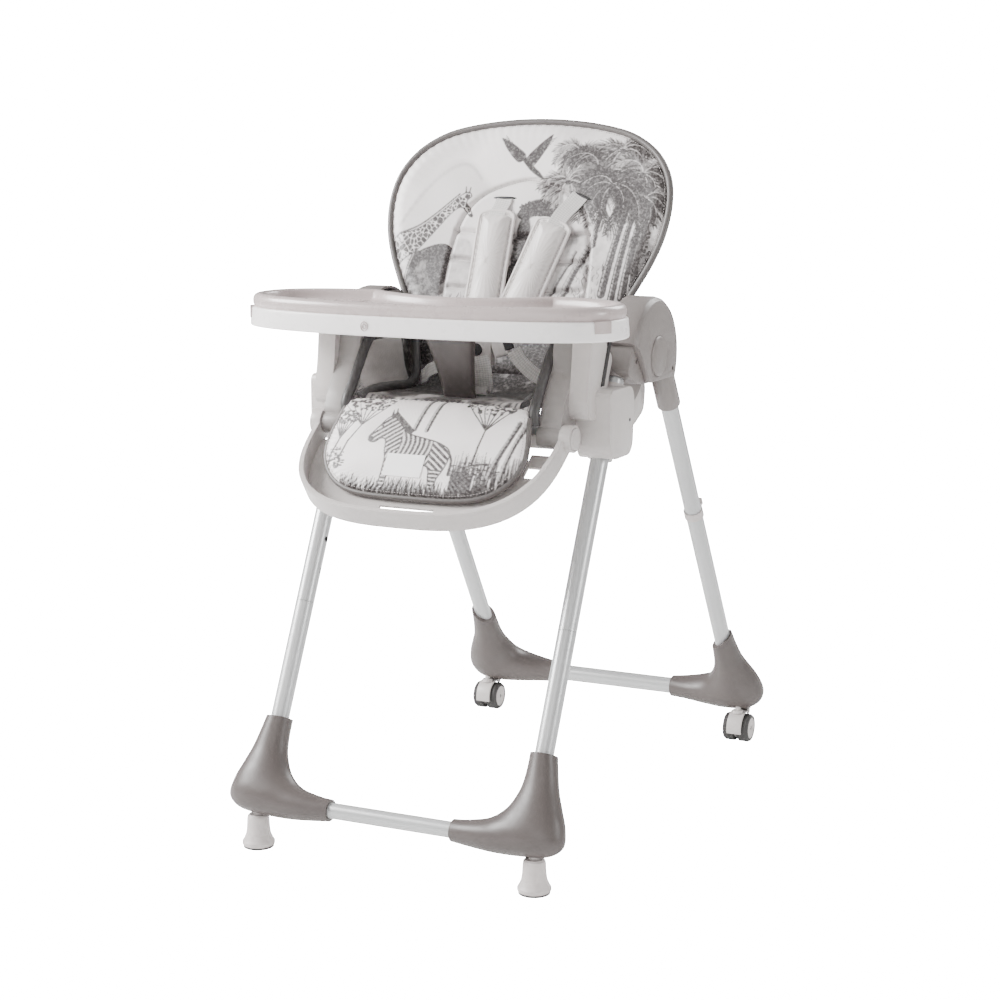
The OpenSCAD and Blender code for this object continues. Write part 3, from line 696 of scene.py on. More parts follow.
    def palm(self, u, v, size, tone, count=9):
        self.blot(u, v - size * 0.1, size * 0.5, size * 0.36, tone * 0.5, 0.8)
        for k in range(count):
            a = math.radians(-30 + 240 * ((k * 5) % count) / (count - 1)) + 0.2 * (self.random.random() - 0.5)
            self.frond(u, v, size * (0.8 + 0.35 * self.random.random()), a,
                       tone * (0.75 + 0.35 * self.random.random()))
        self.blot(u, v - 2, 6, 5, min(1, tone * 1.25), 0.9)

    def bark(self, a, b, wide, thin, tone):
        """A trunk: a dark side, a pale side and rings."""
        a, b = np.array(a, float), np.array(b, float)
        d = (b - a) / np.linalg.norm(b - a)
        s = np.array([-d[1], d[0]])
        line = [a + (b - a) * t + s * 1.5 * math.sin(5 * t) for t in np.linspace(0, 1, 9)]
        self.stroke(line, wide, thin, tone * 0.5)
        self.stroke([p - s * wide * 0.28 for p in line], wide * 0.40, thin * 0.36, tone, 1.0)
        self.stroke([p + s * wide * 0.24 for p in line], wide * 0.26, thin * 0.24, 0.1225, 1.0, strength=0.8)
        for t in np.arange(0.03, 1, 7.0 / np.linalg.norm(b - a)):
            p, w = a + (b - a) * t, (wide + (thin - wide) * t) / 2
            self.stroke([p - s * w, p - d * 1.4, p + s * w], 0.9, 0.9, tone, 0.5, 0.35)

    def crown(self, u, v, wide, tall, tone, count=60):
        """Flat-topped tree crown in small leaf dabs."""
        for _ in range(count):
            a, r = self.random.random() * 2 * math.pi, math.sqrt(self.random.random())
            x, y = u + wide * r * math.cos(a), v + tall * r * math.sin(a)
            self.blot(x, y, 1.5 + 2.4 * self.random.random(), 1.1 + 1.2 * self.random.random(),
                      tone * (0.6 + 0.6 * self.random.random()), 0.8)

    def flat_tree(self, u, v, height, spread, tone, lean=0.0):
        top = (u + lean, v + height * 0.6)
        self.stroke([(u, v), (u + lean * 0.3, v + height * 0.3), top], 3.2, 1.8, tone * 0.8)
        for k in range(7):
            x = u + lean + spread * (k / 3 - 1) * 0.85
            self.stroke([top, ((top[0] + x) / 2, v + height * 0.8), (x, v + height * 0.97)], 1.7, 0.6, tone)
        self.crown(u + lean, v + height, spread, height * 0.10 + 3, tone, 90)

    def grass(self, u0, u1, v, tall, tone, count=50):
        rnd = self.random
        for _ in range(count):
            x, lean, h = u0 + (u1 - u0) * rnd.random(), 9 * (rnd.random() - 0.5), tall * (0.45 + 0.65 * rnd.random())
            y = v + 4 * (rnd.random() - 0.5)
            self.stroke([(x, y), (x + lean * 0.4, y + h * 0.6), (x + lean, y + h)], 2.1, 0.4,
                        tone * (0.5 + 0.6 * rnd.random()), 0.45, 0.9)


def back_scene():
    d = Drawing(-245, 245, 0, 460)
    rnd = d.random
    d.ink += np.clip(d.noise(60) - 0.52, 0, 1) * 0.16                     # sky wash
    d.patch([(-230, 150), (-200, 300), (-150, 372), (-112, 380), (-80, 350), (-50, 300), (-60, 150)], 0.07, 6)
    d.curve([(-215, 270), (-180, 330), (-140, 368), (-110, 374), (-84, 350)], 6, 5, 2, 0.13, 3)
    d.patch([(-110, 300), (-60, 336), (0, 352), (60, 350), (118, 320), (150, 270), (60, 240), (-80, 250)], 0.03, 4)
    d.curve([(-112, 300), (-60, 337), (0, 354), (40, 354)], 6, 1.6, 1.0, 0.16, 1.4)
    d.patch([(90, 270), (130, 292), (175, 270), (210, 225), (220, 150), (80, 150), (70, 230)], 0.10, 5, 1, 0.08)
    # distant scrub
    d.patch([(-12, 292), (-2, 308), (18, 318), (40, 316), (58, 300), (50, 288), (20, 292), (4, 284)], 0.55, 1.5, 1,
            0.28)
    d.crown(22, 304, 34, 12, 0.72, 110)
    d.patch([(-20, 262), (20, 275), (60, 262), (90, 268), (90, 244), (-20, 244)], 0.24, 3, 0.9, 0.12)
    # bird over the middle
    body = [(-26, 392), (-16, 380), (-4, 368), (10, 358), (24, 352), (14, 364), (4, 372), (-8, 384), (-18, 392)]
    d.patch(body, 0.55, 0.7, 1, 0.2)
    for tip, root in (((-58, 420), (-20, 386)), ((26, 424), (-8, 378))):
        tip, root = np.array(tip, float), np.array(root, float)
        across = np.array([-(tip - root)[1], (tip - root)[0]]) * 0.13
        d.patch([root - across * 1.2, root + across * 1.2, (root + tip) / 2 + across * 1.3, tip + across * 0.5, tip,
                 (root + tip) / 2 - across], 0.46, 0.7, 1, 0.2)
        for k in range(12):
            p = root + (tip - root) * (0.2 + 0.75 * k / 12)
            d.stroke([p, p + (tip - root) * 0.16 - across * 0.9], 1.0, 0.4, 0.75, 0.4, 0.8)
    # undergrowth low on the cover: a dark wash, partly print and partly painted shade under the tray
    d.patch([(-240, 20), (-240, 120), (-150, 138), (-60, 130), (20, 140), (110, 128), (200, 140), (240, 120),
             (240, 20)], 0.55, 6, 1, 0.3)
    # painted shade: a dark wash in the hollow between the shoulder straps
    d.patch([(-16, 120), (-10, 230), (-6, 276), (4, 290), (12, 268), (6, 200), (0, 120)], 0.80, 3, 1, 0.15)
    # long-necked grazer, left
    neck = [(-236, 214), (-222, 250), (-190, 262), (-172, 272), (-140, 300), (-116, 322), (-104, 328), (-97, 322),
            (-104, 312), (-96, 300), (-90, 288), (-97, 290), (-112, 303), (-130, 290), (-152, 262), (-176, 232),
            (-200, 214), (-214, 204)]
    d.patch(neck, 0.17, 0.8, 1, 0.08)
    d.curve(neck + neck[:1], 5, 1.1, 1.0, 0.5, 0.5, 0.9)
    d.coat(neck, 7.0, 0.80)
    d.curve(neck + neck[:1], 5, 1.0, 1.0, 0.55, 0.5, 0.9)
    d.curve([(-214, 256), (-190, 266), (-172, 277), (-142, 303), (-118, 325)], 5, 2.6, 1.6, 0.62)
    d.stroke([(-108, 327), (-109, 337)], 2.0, 1.2, 0.7)
    d.stroke([(-102, 327), (-101, 336)], 2.0, 1.2, 0.7)
    d.blot(-93, 290, 3.6, 3.0, 0.8)
    # big-eared grazer below it
    d.patch([(-196, 150), (-184, 190), (-176, 224), (-150, 238), (-120, 232), (-110, 205), (-118, 170), (-140, 150)],
            0.36, 1.0, 1, 0.12)
    d.patch([(-160, 232), (-130, 240), (-112, 222), (-118, 190), (-136, 172), (-152, 190)], 0.58, 0.8, 1, 0.14)
    d.blot(-138, 196, 15, 20, 0.86, 0.85)
    d.blot(-163, 214, 2.4, 1.8, 1.0)
    d.curve([(-176, 222), (-186, 190), (-190, 160), (-180, 140)], 5, 14, 7, 0.40)
    d.curve([(-184, 226), (-194, 192), (-197, 160), (-184, 136)], 5, 1.2, 1.0, 0.8)
    for k in range(16):
        v = 214 - 5 * k
        d.stroke([(-192 + 0.1 * k, v), (-178, v - 1.5)], 0.7, 0.5, 0.6, 0.4, 0.7)
    d.curve([(-178, 224), (-160, 234), (-130, 241), (-111, 222), (-117, 190), (-136, 171), (-152, 190)], 5, 1.4, 1.0,
            0.85)
    d.patch([(-118, 240), (-96, 250), (-80, 232), (-70, 160), (-118, 150)], 0.14, 2, 0.9, 0.08)
    # thin tree behind the straps
    for k in range(5):
        x = -6 + 10 * k
        d.stroke([(x, 150), (x + 2, 190), (x - 4 + 3 * k, 246)], 2.2, 0.8, 0.6)
    for _ in range(26):
        x, y = -10 + 60 * rnd.random(), 196 + 50 * rnd.random()
        d.stroke([(x, y), (x + 7 * (rnd.random() - 0.5), y + 8)], 1.0, 0.5, 0.62, 0.4)
    # leaning trunks and thicket, right of the straps
    d.bark((80, 150), (124, 262), 13, 8, 0.62)
    d.bark((60, 150), (96, 236), 8, 4, 0.5)
    d.bark((124, 246), (134, 330), 9, 6, 0.72)
    for lo, hi, w, t in (((150, 168), (174, 342), 13, 0.85), ((167, 160), (188, 345), 11, 1.0),
                         ((183, 164), (202, 336), 12, 0.9), ((197, 180), (216, 326), 9, 1.0)):
        d.bark(lo, hi, w, w * 0.7, t)
    d.blot(204, 232, 20, 66, 0.5, 0.6)
    d.crown(204, 226, 16, 60, 0.85, 70)
    for _ in range(60):
        x, y = 96 + 60 * rnd.random(), 150 + 70 * rnd.random()
        d.stroke([(x, y), (x + 6 * (rnd.random() - 0.5), y + 5), (x + 10 * (rnd.random() - 0.5), y + 10)], 0.9, 0.4,
                 0.5, 0.4, 0.8)
    # palm crowns, upper right
    d.palm(78, 398, 44, 0.50, 8)
    d.palm(150, 402, 50, 0.56, 9)
    d.palm(66, 350, 46, 0.50, 9)
    d.palm(190, 362, 54, 0.66, 9)
    d.palm(112, 376, 60, 0.72, 10)
    d.palm(200, 322, 44, 0.74, 8)
    d.palm(142, 344, 62, 0.86, 11)
    d.grass(-200, 210, 140, 22, 0.7, 160)
    d.curve(ARCH, 8, 0.9, 0.9, 0.30, 0.5, 0.7)
    for v in ROLLS:
        d.stroke([(-118, v + 3), (0, v - 3), (118, v + 3)], 0.9, 0.9, 0.34, 0.5, 0.7)
    return d


def calf_scene():
    d = Drawing(-170, 170, -150, 60, seed=9)
    d.ink += np.clip(d.noise(40) - 0.5, 0, 1) * 0.12
    d.grass(-160, 160, -140, 34, 0.78, 420)
    d.grass(60, 160, -120, 60, 0.62, 160)
    d.crown(95, -86, 42, 16, 0.5, 120)
    d.crown(-138, -80, 18, 20, 0.7, 60)
    d.flat_tree(-130, -78, 92, 46, 0.60, 22)
    d.flat_tree(-148, -100, 90, 24, 0.68, 10)
    d.flat_tree(88, -76, 96, 42, 0.72, 6)
    d.bark((118, -92), (142, 0), 9, 5, 0.6)
    d.bark((136, -92), (152, 4), 7, 5, 0.5)
    for x in (-18, 2):
        d.bark((x, -26), (x + 22, 52), 7, 6, 0.48)
    # striped horse
    horse = [(-89, -40), (-88, -48), (-78, -50), (-68, -43), (-60, -46), (-57, -62), (-53, -76), (-52, -98),
             (-51, -120), (-43, -120), (-41, -98), (-37, -84), (-14, -82), (12, -82), (22, -88), (26, -104),
             (31, -124), (39, -124), (39, -104), (46, -86), (50, -68), (46, -54), (26, -44), (-2, -38), (-24, -33),
             (-36, -24), (-48, -11), (-56, -5), (-66, -9), (-78, -25)]

    def count(u, v):
        neck, legs = (v * 0.80 - u * 0.60) / 6.5, v / 6.0
        torso = (u + 0.010 * (v + 60) ** 2 + 6 * np.sin(v * 0.05)) / 7.6
        rump = (v * 0.75 + u * 0.55) / 6.8
        body = np.where(u > 18, rump, torso)
        return np.where(v < -88, legs, np.where((u < -34) & (v > -62), neck, body))

    d.stripes(horse, count, 0.92, 0.10)
    d.curve(horse + horse[:1], 4, 1.3, 1.3, 0.8, 0.5, 0.9)
    for k in range(22):                                                   # mane
        t = k / 21
        x, y = -58 + 36 * t, -4 - 29 * t
        d.stroke([(x, y), (x + 4.2, y + 5.5)], 2.4, 1.2, 0.88, 0.4)
    for x, y in ((-60, -6), (-54, -4)):
        d.stroke([(x, y), (x - 1, y + 10)], 4.4, 1.0, 0.82)
    d.blot(-85, -45, 5.2, 4.4, 0.95)
    d.blot(-71, -23, 1.9, 1.6, 1.0)
    d.curve([(48, -58), (55, -72), (56, -94)], 5, 2.0, 4.0, 0.85)
    d.grass(-150, 150, -140, 26, 0.85, 220)
    return d


def seat_scene():
    d = Drawing(-260, 260, -40, 260, seed=12)
    # painted shade: a dark mottled wash under the whole print, the shade under the tray
    d.ink += 0.16 + np.clip(d.noise(30) - 0.35, 0, 1) * 0.8
    # painted shade: a darker wash over the back half of the seat and its wings
    d.patch([(-250, 110), (250, 110), (250, 250), (-250, 250)], 0.5, 8, 1, 0.3)
    for k in range(7):
        d.flat_tree(-220 + 74 * k, 20 + 10 * (k % 3), 90, 40, 0.6, 8)
    d.grass(-250, 250, 0, 30, 0.7, 260)
    d.patch([(20, 60), (80, 96), (130, 70), (180, 84), (190, 40), (20, 40)], 0.3, 4, 1, 0.15)
    return d


def inked(obj, drawing, coords):
    values = np.clip(2.2 * drawing.sample(coords[:, 0], coords[:, 1]) ** 0.85, 0, 1)
    attribute = obj.data.attributes.new("ink", "FLOAT", "POINT")
    attribute.data.foreach_set("value", values.astype(np.float32))


# ------------------------------------------------------------------ cushions
def dome(reach, height, crown=0.0):
    """Height of a stuffed face by distance from its sewn edge."""
    def rise(d):
        k = np.clip(d / reach, 0, 1)
        return height * np.sqrt(1 - (1 - k) ** 2) + crown * np.clip((d - reach) / 90, 0, 1)
    return rise


def nearest(line, u, v):
    """Distance of each point (u, v) from the closest point of a line."""
    return np.min(np.hypot(line[None, :, 0] - u[:, None], line[None, :, 1] - v[:, None]), 1)


def cushion(name, outline, place, front, back, rings=110, around=560, back_rings=14, shape=None, puckers=95):
    """A closed pad over an outline: crowned face, flatter back, pulled in along its sewn edge."""
    line = even(outline, around)
    middle = line.mean(0)
    vertices, coords = [], []

    def ring(share, face):
        p = middle + (line - middle) * share
        near = np.minimum(nearest(line[::2], p[:, 0], p[:, 1]), np.linalg.norm(line - middle, axis=1) * (1 - share))
        rise = (front if face > 0 else back)(near)
        ripple = np.sin(np.arange(around) * 2 * math.pi * puckers / around)
        pucker = 0.6 * np.exp(-near / 13.0) * ripple * np.clip(near / 3, 0, 1)
        hold = np.clip(near / 12, 0, 1)
        sunk = shape(p[:, 0], p[:, 1]) * hold if shape and face > 0 else np.zeros(around)
        for (u, v), w in zip(p, face * (rise + pucker) + sunk):
            vertices.append(place(u, v, w))
            coords.append((u, v))

    for s in 1 - np.linspace(0, 1, rings, endpoint=False) ** 1.25:
        ring(s, 1)
    deep = np.array([np.min(np.hypot(*(line - middle).T))])
    vertices.append(place(*middle, float(front(deep)[0] + (shape(*middle[:, None])[0] if shape else 0))))
    coords.append(tuple(middle))
    faces = []
    for k in range(rings - 1):
        a, b = k * around, (k + 1) * around
        faces += [(a + i, a + (i + 1) % around, b + (i + 1) % around, b + i) for i in range(around)]
    a, tip = (rings - 1) * around, rings * around
    faces += [(a + i, a + (i + 1) % around, tip) for i in range(around)]
    start = len(vertices)
    for s in (1 - np.linspace(0, 1, back_rings, endpoint=False) ** 1.6)[1:]:
        ring(s, -1)
    vertices.append(place(*middle, -float(back(deep)[0])))
    coords.append(tuple(middle))
    bands = [list(range(around))] + [list(range(start + k * around, start + (k + 1) * around))
                                     for k in range(back_rings - 1)]
    for a, b in zip(bands, bands[1:]):
        faces += [(a[(i + 1) % around], a[i], b[i], b[(i + 1) % around]) for i in range(around)]
    tip, a = len(vertices) - 1, bands[-1]
    faces += [(a[(i + 1) % around], a[i], tip) for i in range(around)]
    return worked(raw(name, vertices, faces)), np.array(coords), line


def groove(points, width, depth):
    """A sewn channel: how far the face is pulled down near a line."""
    p = even(smooth_line(points, 10), 420, False)

    def pull(u, v):
        return -depth * np.exp(-((nearest(p, u, v) / width) ** 2))
    return pull


def both_halves(half):
    """Smooth closed outline from its right half, both ends on the centre line."""
    return smooth_line(half + [(-u, v) for u, v in half[-2:0:-1]], 10, True)


BACK_FACE, BACK_HALF, BACK_WRAP = 8.0, 235.0, 9.0      # face before the hinge, half width, forward curl, mm


def on_back(u, v, w):
    """Back cushion coordinates: across, up the backrest, and out of its face."""
    depth = -BACK_FACE - w - ((abs(u) / BACK_HALF) ** 3) * BACK_WRAP
    y, z = BACK_PIVOT
    return spot(u, y + v * math.sin(LEAN) + depth * math.cos(LEAN), z + v * math.cos(LEAN) - depth * math.sin(LEAN))


BACK_LINE = both_halves([(0, 28), (90, 28), (150, 40), (164, 100), (184, 150), (202, 186), (219, 222), (232, 262),
                         (237, 306), (232, 346), (217, 378), (192, 405), (154, 427), (104, 440), (50, 447), (0, 449)])
ARCH = [(-118, 40), (-122, 180), (-112, 270), (-80, 322), (-20, 348), (20, 348), (80, 322), (112, 270), (122, 180),
        (118, 40)]
ROLLS = (262, 216, 170)                   # heights of the sewn channels across the back
arch_groove = groove(ARCH, 3.4, 5.0)
rolls = [groove([(-122, v + 3), (-60, v), (0, v - 3), (60, v), (122, v + 3)], 4.2, 5.5) for v in ROLLS]
back_rise = dome(26, 15, 3)


def back_shape(u, v):
    inner = np.clip((120 - np.abs(u)) / 5, 0, 1)
    return arch_groove(u, v) + sum(r(u, v) for r in rolls) * inner + 0.7 * np.sin(u * 0.05 + 1.3) * np.sin(v * 0.043)


def between_hubs(obj):
    """Gives the piece a mesh of its own."""
    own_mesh(obj)


back_pad, coords, _ = cushion("back_cushion", BACK_LINE, on_back, back_rise, dome(16, 11), 190, 900, shape=back_shape)
inked(finish_mesh(back_pad, PRINT, 80), back_scene(), coords)
between_hubs(attach(back_pad, "backrest", "back_pad"))


def stitching():
    """Node tree: one small bead of thread at every step along a seam line, sizes in metres."""
    tree = bpy.data.node_groups.new("stitching", "GeometryNodeTree")
    ports = {}
    for label, kind in (("Seam", "Geometry"), ("Gap", "Float"), ("Length", "Float"), ("Width", "Float"),
                        ("Thread", "Material")):
        ports[label] = tree.interface.new_socket(label, in_out="INPUT", socket_type="NodeSocket" + kind).identifier
    tree.interface.new_socket("Stitches", in_out="OUTPUT", socket_type="NodeSocketGeometry")
    given = tree.nodes.new("NodeGroupInput")

    def step(kind, settings=(), **sources):
        made = tree.nodes.new(kind)
        for key, value in dict(settings).items():
            setattr(made, key, value)
        for key, source in sources.items():
            socket = made.inputs[key]
            if isinstance(source, bpy.types.NodeSocket):
                tree.links.new(source, socket)
            else:
                socket.default_value = source
        return made.outputs

    seam = step("GeometryNodeMeshToCurve", Mesh=given.outputs["Seam"])[0]
    places = step("GeometryNodeCurveToPoints", {"mode": "LENGTH"}, Curve=seam, Length=given.outputs["Gap"])
    bead = step("GeometryNodeMeshUVSphere", Segments=6, Rings=4, Radius=1.0)[0]
    size = step("ShaderNodeCombineXYZ", X=given.outputs["Width"], Y=given.outputs["Width"],
                Z=given.outputs["Length"])[0]
    sewn = step("GeometryNodeInstanceOnPoints", Points=places["Points"], Instance=bead, Rotation=places["Rotation"],
                Scale=size)[0]
    real = step("GeometryNodeRealizeInstances", Geometry=sewn)[0]
    done = step("GeometryNodeSetMaterial", Geometry=real, Material=given.outputs["Thread"])[0]
    tree.links.new(done, tree.nodes.new("NodeGroupOutput").inputs[0])
    return tree, ports


STITCHING, STITCH_PORTS = stitching()


def stitches(name, path, body, slot="cushion", gap=4.6, long=1.7, wide=0.5):
    """Thread along a path, its gap and half sizes in millimetres."""
    obj = raw(name, path, edges=[(k, k + 1) for k in range(len(path) - 1)])
    sewing = obj.modifiers.new("sewing", "NODES")
    sewing.node_group = STITCHING
    for label, value in (("Gap", gap / 1000), ("Length", long / 1000), ("Width", wide / 1000),
                         ("Thread", THREAD.material)):
        sewing[STITCH_PORTS[label]] = value
    return attach(finish_mesh(settle(obj), THREAD, 80), body, slot=slot)


def drawn_in(line, by):
    """A closed outline moved inwards by a distance in millimetres."""
    ahead = np.roll(line, -1, 0) - np.roll(line, 1, 0)
    turn = 1 if np.sum(line[:, 0] * ahead[:, 1]) > 0 else -1
    return line + turn * by * np.stack([-ahead[:, 1], ahead[:, 0]], 1) / np.linalg.norm(ahead, axis=1)[:, None]


def piping(name, line, place, radius, body, out=0.0):
    v, f = tube([place(u, w, out) for u, w in line], radius)
    return attach(piece(name, v, f, PIPING, 80), body, slot="cushion")


BACK_EDGE = [(q[0] * 1.010, 236 + (q[1] - 236) * 1.012) for q in even(BACK_LINE, 360) if q[1] > 118]
between_hubs(piping("back_piping", BACK_EDGE, on_back, 0.0054, "backrest", 5.5))

edge_seam = [q for q in drawn_in(even(BACK_LINE, 360), 5.0) if q[1] > 122]
between_hubs(stitches("back_edge_stitches", [on_back(*q, float(back_rise(5.0)) + 0.2) for q in edge_seam],
                      "backrest"))
fine_line = even(BACK_LINE, 720)
arch_seam = []
for q in even(smooth_line(ARCH, 10), 400, False):
    near = np.min(np.hypot(*(fine_line - q).T))
    arch_seam.append(on_back(*q, float(back_rise(near) + back_shape(*q[:, None])[0]) + 0.3))
between_hubs(stitches("back_arch_stitches", arch_seam, "backrest"))

CALF_SLOPE = math.radians(54)
CALF_FOLD, CALF_ROLL = 4.0, 34.0          # where the pad starts to roll over the seat front, and its radius, mm
CALF_Y, CALF_Z, CALF_HALF, CALF_BOW = -243, 646, 158.0, 5.0


def on_calf(u, v, w):
    """Calf pad: across, up the slope (negative is down), and out of its face; its top rolls over the seat front."""
    bow = -((abs(u) / CALF_HALF) ** 2) * CALF_BOW
    turned = min(max(v - CALF_FOLD, 0.0) / CALF_ROLL, CALF_SLOPE)
    flat = max(v - CALF_FOLD - CALF_ROLL * turned, 0.0)
    v = min(v, CALF_FOLD)
    a = CALF_SLOPE - turned
    y = CALF_Y + v * math.cos(CALF_SLOPE) + CALF_ROLL * (math.sin(CALF_SLOPE) - math.sin(a)) + flat * math.cos(a)
    z = CALF_Z + v * math.sin(CALF_SLOPE) + CALF_ROLL * (math.cos(a) - math.cos(CALF_SLOPE)) + flat * math.sin(a)
    return spot(u, y - (w + bow) * math.sin(a), z + (w + bow) * math.cos(a))


CALF_LINE = both_halves([(0, 30), (80, 30), (138, 29), (149, 16), (154, -6), (160, -38), (160, -64), (148, -92),
                         (122, -116), (80, -129), (0, -132)])
calf_rise = dome(16, 10, 1)
calf_pad, coords, _ = cushion("calf_cushion", CALF_LINE, on_calf, calf_rise, dome(10, 8), 130, 720)
inked(finish_mesh(calf_pad, PRINT, 80), calf_scene(), coords)
attach(calf_pad, "legrest", "calf_pad")
piping("calf_piping", [q for q in even(CALF_LINE, 260) if q[1] < 12], on_calf, 0.0048, "legrest")
stitches("calf_edge_stitches", [on_calf(*q, float(calf_rise(4.5)) + 0.2)
                                for q in drawn_in(even(CALF_LINE, 260), 4.5) if q[1] < 10], "legrest")
label = []
for w in (10.2, 11.6):
    label += [on_calf(-18 + a, -85 + b, w) for a, b in ((-31, -18), (31, -18), (31, 18), (-31, 18))]
attach(piece("care_label_blank", label, BOX, LABEL), "legrest", slot="cushion")


# ---- seat cover: a U-shaped trough with wings up the cheeks
SEAT_FRONT, SEAT_DEEP = -222, 206          # front fold of the cover, and its depth to the back, mm
SEAT_HALF, WING_OUT = 127, 26             # half width of the flat, and how far a wing stands out from it, mm
FLAT = 0.62                               # share of the cover's half width that is flat


def seat_section(t):
    """Profile of the cover at depth share t, from the front fold (0) to the back (1): depth, floor, wing top."""
    y = SEAT_FRONT + SEAT_DEEP * t
    low = 668 - 10 * t - 16 * max(0.0, 1 - t / 0.10) ** 2 + 26 * max(0.0, (t - 0.8) / 0.2) ** 2
    top = 664 + 96 * min(1.0, t / 0.34) ** 0.8
    return y, low, top


def wing(k):
    """How far out the wing lies at a share of its height."""
    return SEAT_HALF + WING_OUT * math.sin(min(1.0, k * 1.7) * math.pi / 2)


def seat_cover():
    across, along = 121, 70
    vertices, coords = [], []
    for under in (0, 1):
        for j in range(along):
            t = j / (along - 1)
            y, low, top = seat_section(t)
            for i in range(across):
                s = i / (across - 1) * 2 - 1
                a = abs(s)
                if a < FLAT:
                    k = a / FLAT
                    x, z = SEAT_HALF * k, low + 2.2 * math.cos(k * math.pi / 2) + 5 * k ** 4 - 14 * under
                    if not under:
                        z += 1.6 * math.sin(s * 9 + 14 * t) * math.sin(math.pi * k)
                        z -= 5 * math.exp(-(((t - 0.5) * SEAT_DEEP) / 5) ** 2) * (1 - k ** 4)
                else:
                    k = (a - FLAT) / (1 - FLAT)
                    x = wing(k) + (2.5 if under else -5.0 * math.sin(math.pi * k))
                    z = low + 5 + (top - low - 5) * k ** 1.25
                vertices.append(spot(math.copysign(x, s), y, z))
                coords.append((s * 240, 240 * t))
    faces = []
    step = across * along
    for j in range(along - 1):
        for i in range(across - 1):
            a = j * across + i
            faces.append((a, a + 1, a + across + 1, a + across))
            faces.append((step + a, step + a + across, step + a + across + 1, step + a + 1))
    for i in range(across - 1):
        faces.append((i, step + i, step + i + 1, i + 1))
        k = (along - 1) * across + i
        faces.append((k, k + 1, step + k + 1, step + k))
    for j in range(along - 1):
        a, b = j * across, (j + 1) * across
        faces.append((a, b, step + b, step + a))
        a, b = a + across - 1, b + across - 1
        faces.append((a, step + a, step + b, b))
    obj = piece("seat_cover", vertices, faces, PRINT, 80)
    near = {tuple(np.round(v, 6)): c for v, c in zip(vertices, coords)}
    co = np.array([near.get(tuple(np.round(tuple(v.co), 6)), (0, 0)) for v in obj.data.vertices])
    inked(obj, seat_scene(), co)
    return obj


seat_pad = seat_cover()
attach(seat_pad, "seat", "seat_pad")


def seat_cord(name, side, points, radius):
    # the cords wear the piping cover's painted-shade copy
    v, f = tube([spot(side * x, y, z) for x, y, z in smooth_line(points, 8)], radius, False, 12)
    attach(piece(name, v, f, SHADOW_PIPING, 80), "seat", slot="cushion")


for side_name, side in SIDES:
    seat_cord("seat_piping_" + side_name, side, ((156, -226, 642), (155, -224, 662), (154, -208, 684),
                                                 (154, -186, 713),
              (154, -160, 744), (153, -128, 762), (152, -70, 765)), 0.0080)
    seat_cord("wing_seam_" + side_name, side, ((136, -216, 668), (131, -180, 675), (127, -130, 674), (124, -84, 672),
              (126, -56, 684), (132, -44, 716), (138, -34, 748), (142, -22, 778)), 0.0072)
    # plain lining let into the wing, its dark grey a painted shade
    rows = []
    for k in range(15):
        y = -196 + 9.6 * k
        t = (y - SEAT_FRONT) / SEAT_DEEP
        _, low, top = seat_section(t)
        row = []
        for q in range(9):
            share = 0.16 + 0.70 * q / 8
            row.append((wing(share) - 5.0 * math.sin(math.pi * share), y, low + 5 + (top - low - 5) * share ** 1.25))
        rows.append(row)
    ring = []
    for row in rows:
        ring.append([spot(side * (x - 1.6 - 2.4 * math.sin(math.pi * q / 8)), y, z) for q,
                     (x, y, z) in enumerate(row)]
                    + [spot(side * (x + 0.6), y, z) for x, y, z in reversed(row)])
    v, f = lofted(ring)
    lining = piece("wing_lining_" + side_name, v, f, SHADED_LINING, 60)
    attach(lining, "seat", slot="cushion")


# ------------------------------------------------------------------ harness
def strip(points, width, thick, across):
    """A flat strap through points, width in metres, lying across the given direction."""
    p = smooth_line([tuple(q) for q in points], 8)
    across = np.array(across)
    vertices, uvs = [], []
    run = 0.0
    for k in range(len(p)):
        d = p[min(k + 1, len(p) - 1)] - p[max(k - 1, 0)]
        d /= np.linalg.norm(d)
        side = across - d * (across @ d)
        side /= np.linalg.norm(side)
        up = np.cross(side, d)
        if k:
            run += float(np.linalg.norm(p[k] - p[k - 1]))
        for s, h in ((-1, -1), (-0.97, 1), (-0.5, 1.06), (0, 1.08), (0.5, 1.06), (0.97, 1), (1, -1), (0, -1)):
            vertices.append(p[k] + side * width / 2 * s + up * thick / 2 * h)
            uvs.append((width / 2 * s, run))
    n = 8
    faces = [(k * n + i, k * n + (i + 1) % n, (k + 1) * n + (i + 1) % n, (k + 1) * n + i)
             for k in range(len(p) - 1) for i in range(n)]
    faces += [tuple(range(n))[::-1], tuple(range((len(p) - 1) * n, len(p) * n))]
    return vertices, faces, uvs


def strap(name, points, width, body, across=(1.0, 0.0, 0.0)):
    v, f, uvs = strip(points, width, 0.0018, across)
    obj = worked(raw(name, v, f))
    layer = obj.data.uv_layers.new(name="weave")
    for loop in obj.data.loops:
        layer.data[loop.index].uv = uvs[loop.vertex_index]
    return attach(finish_mesh(obj, STRAP, 60), body, slot="webbing")


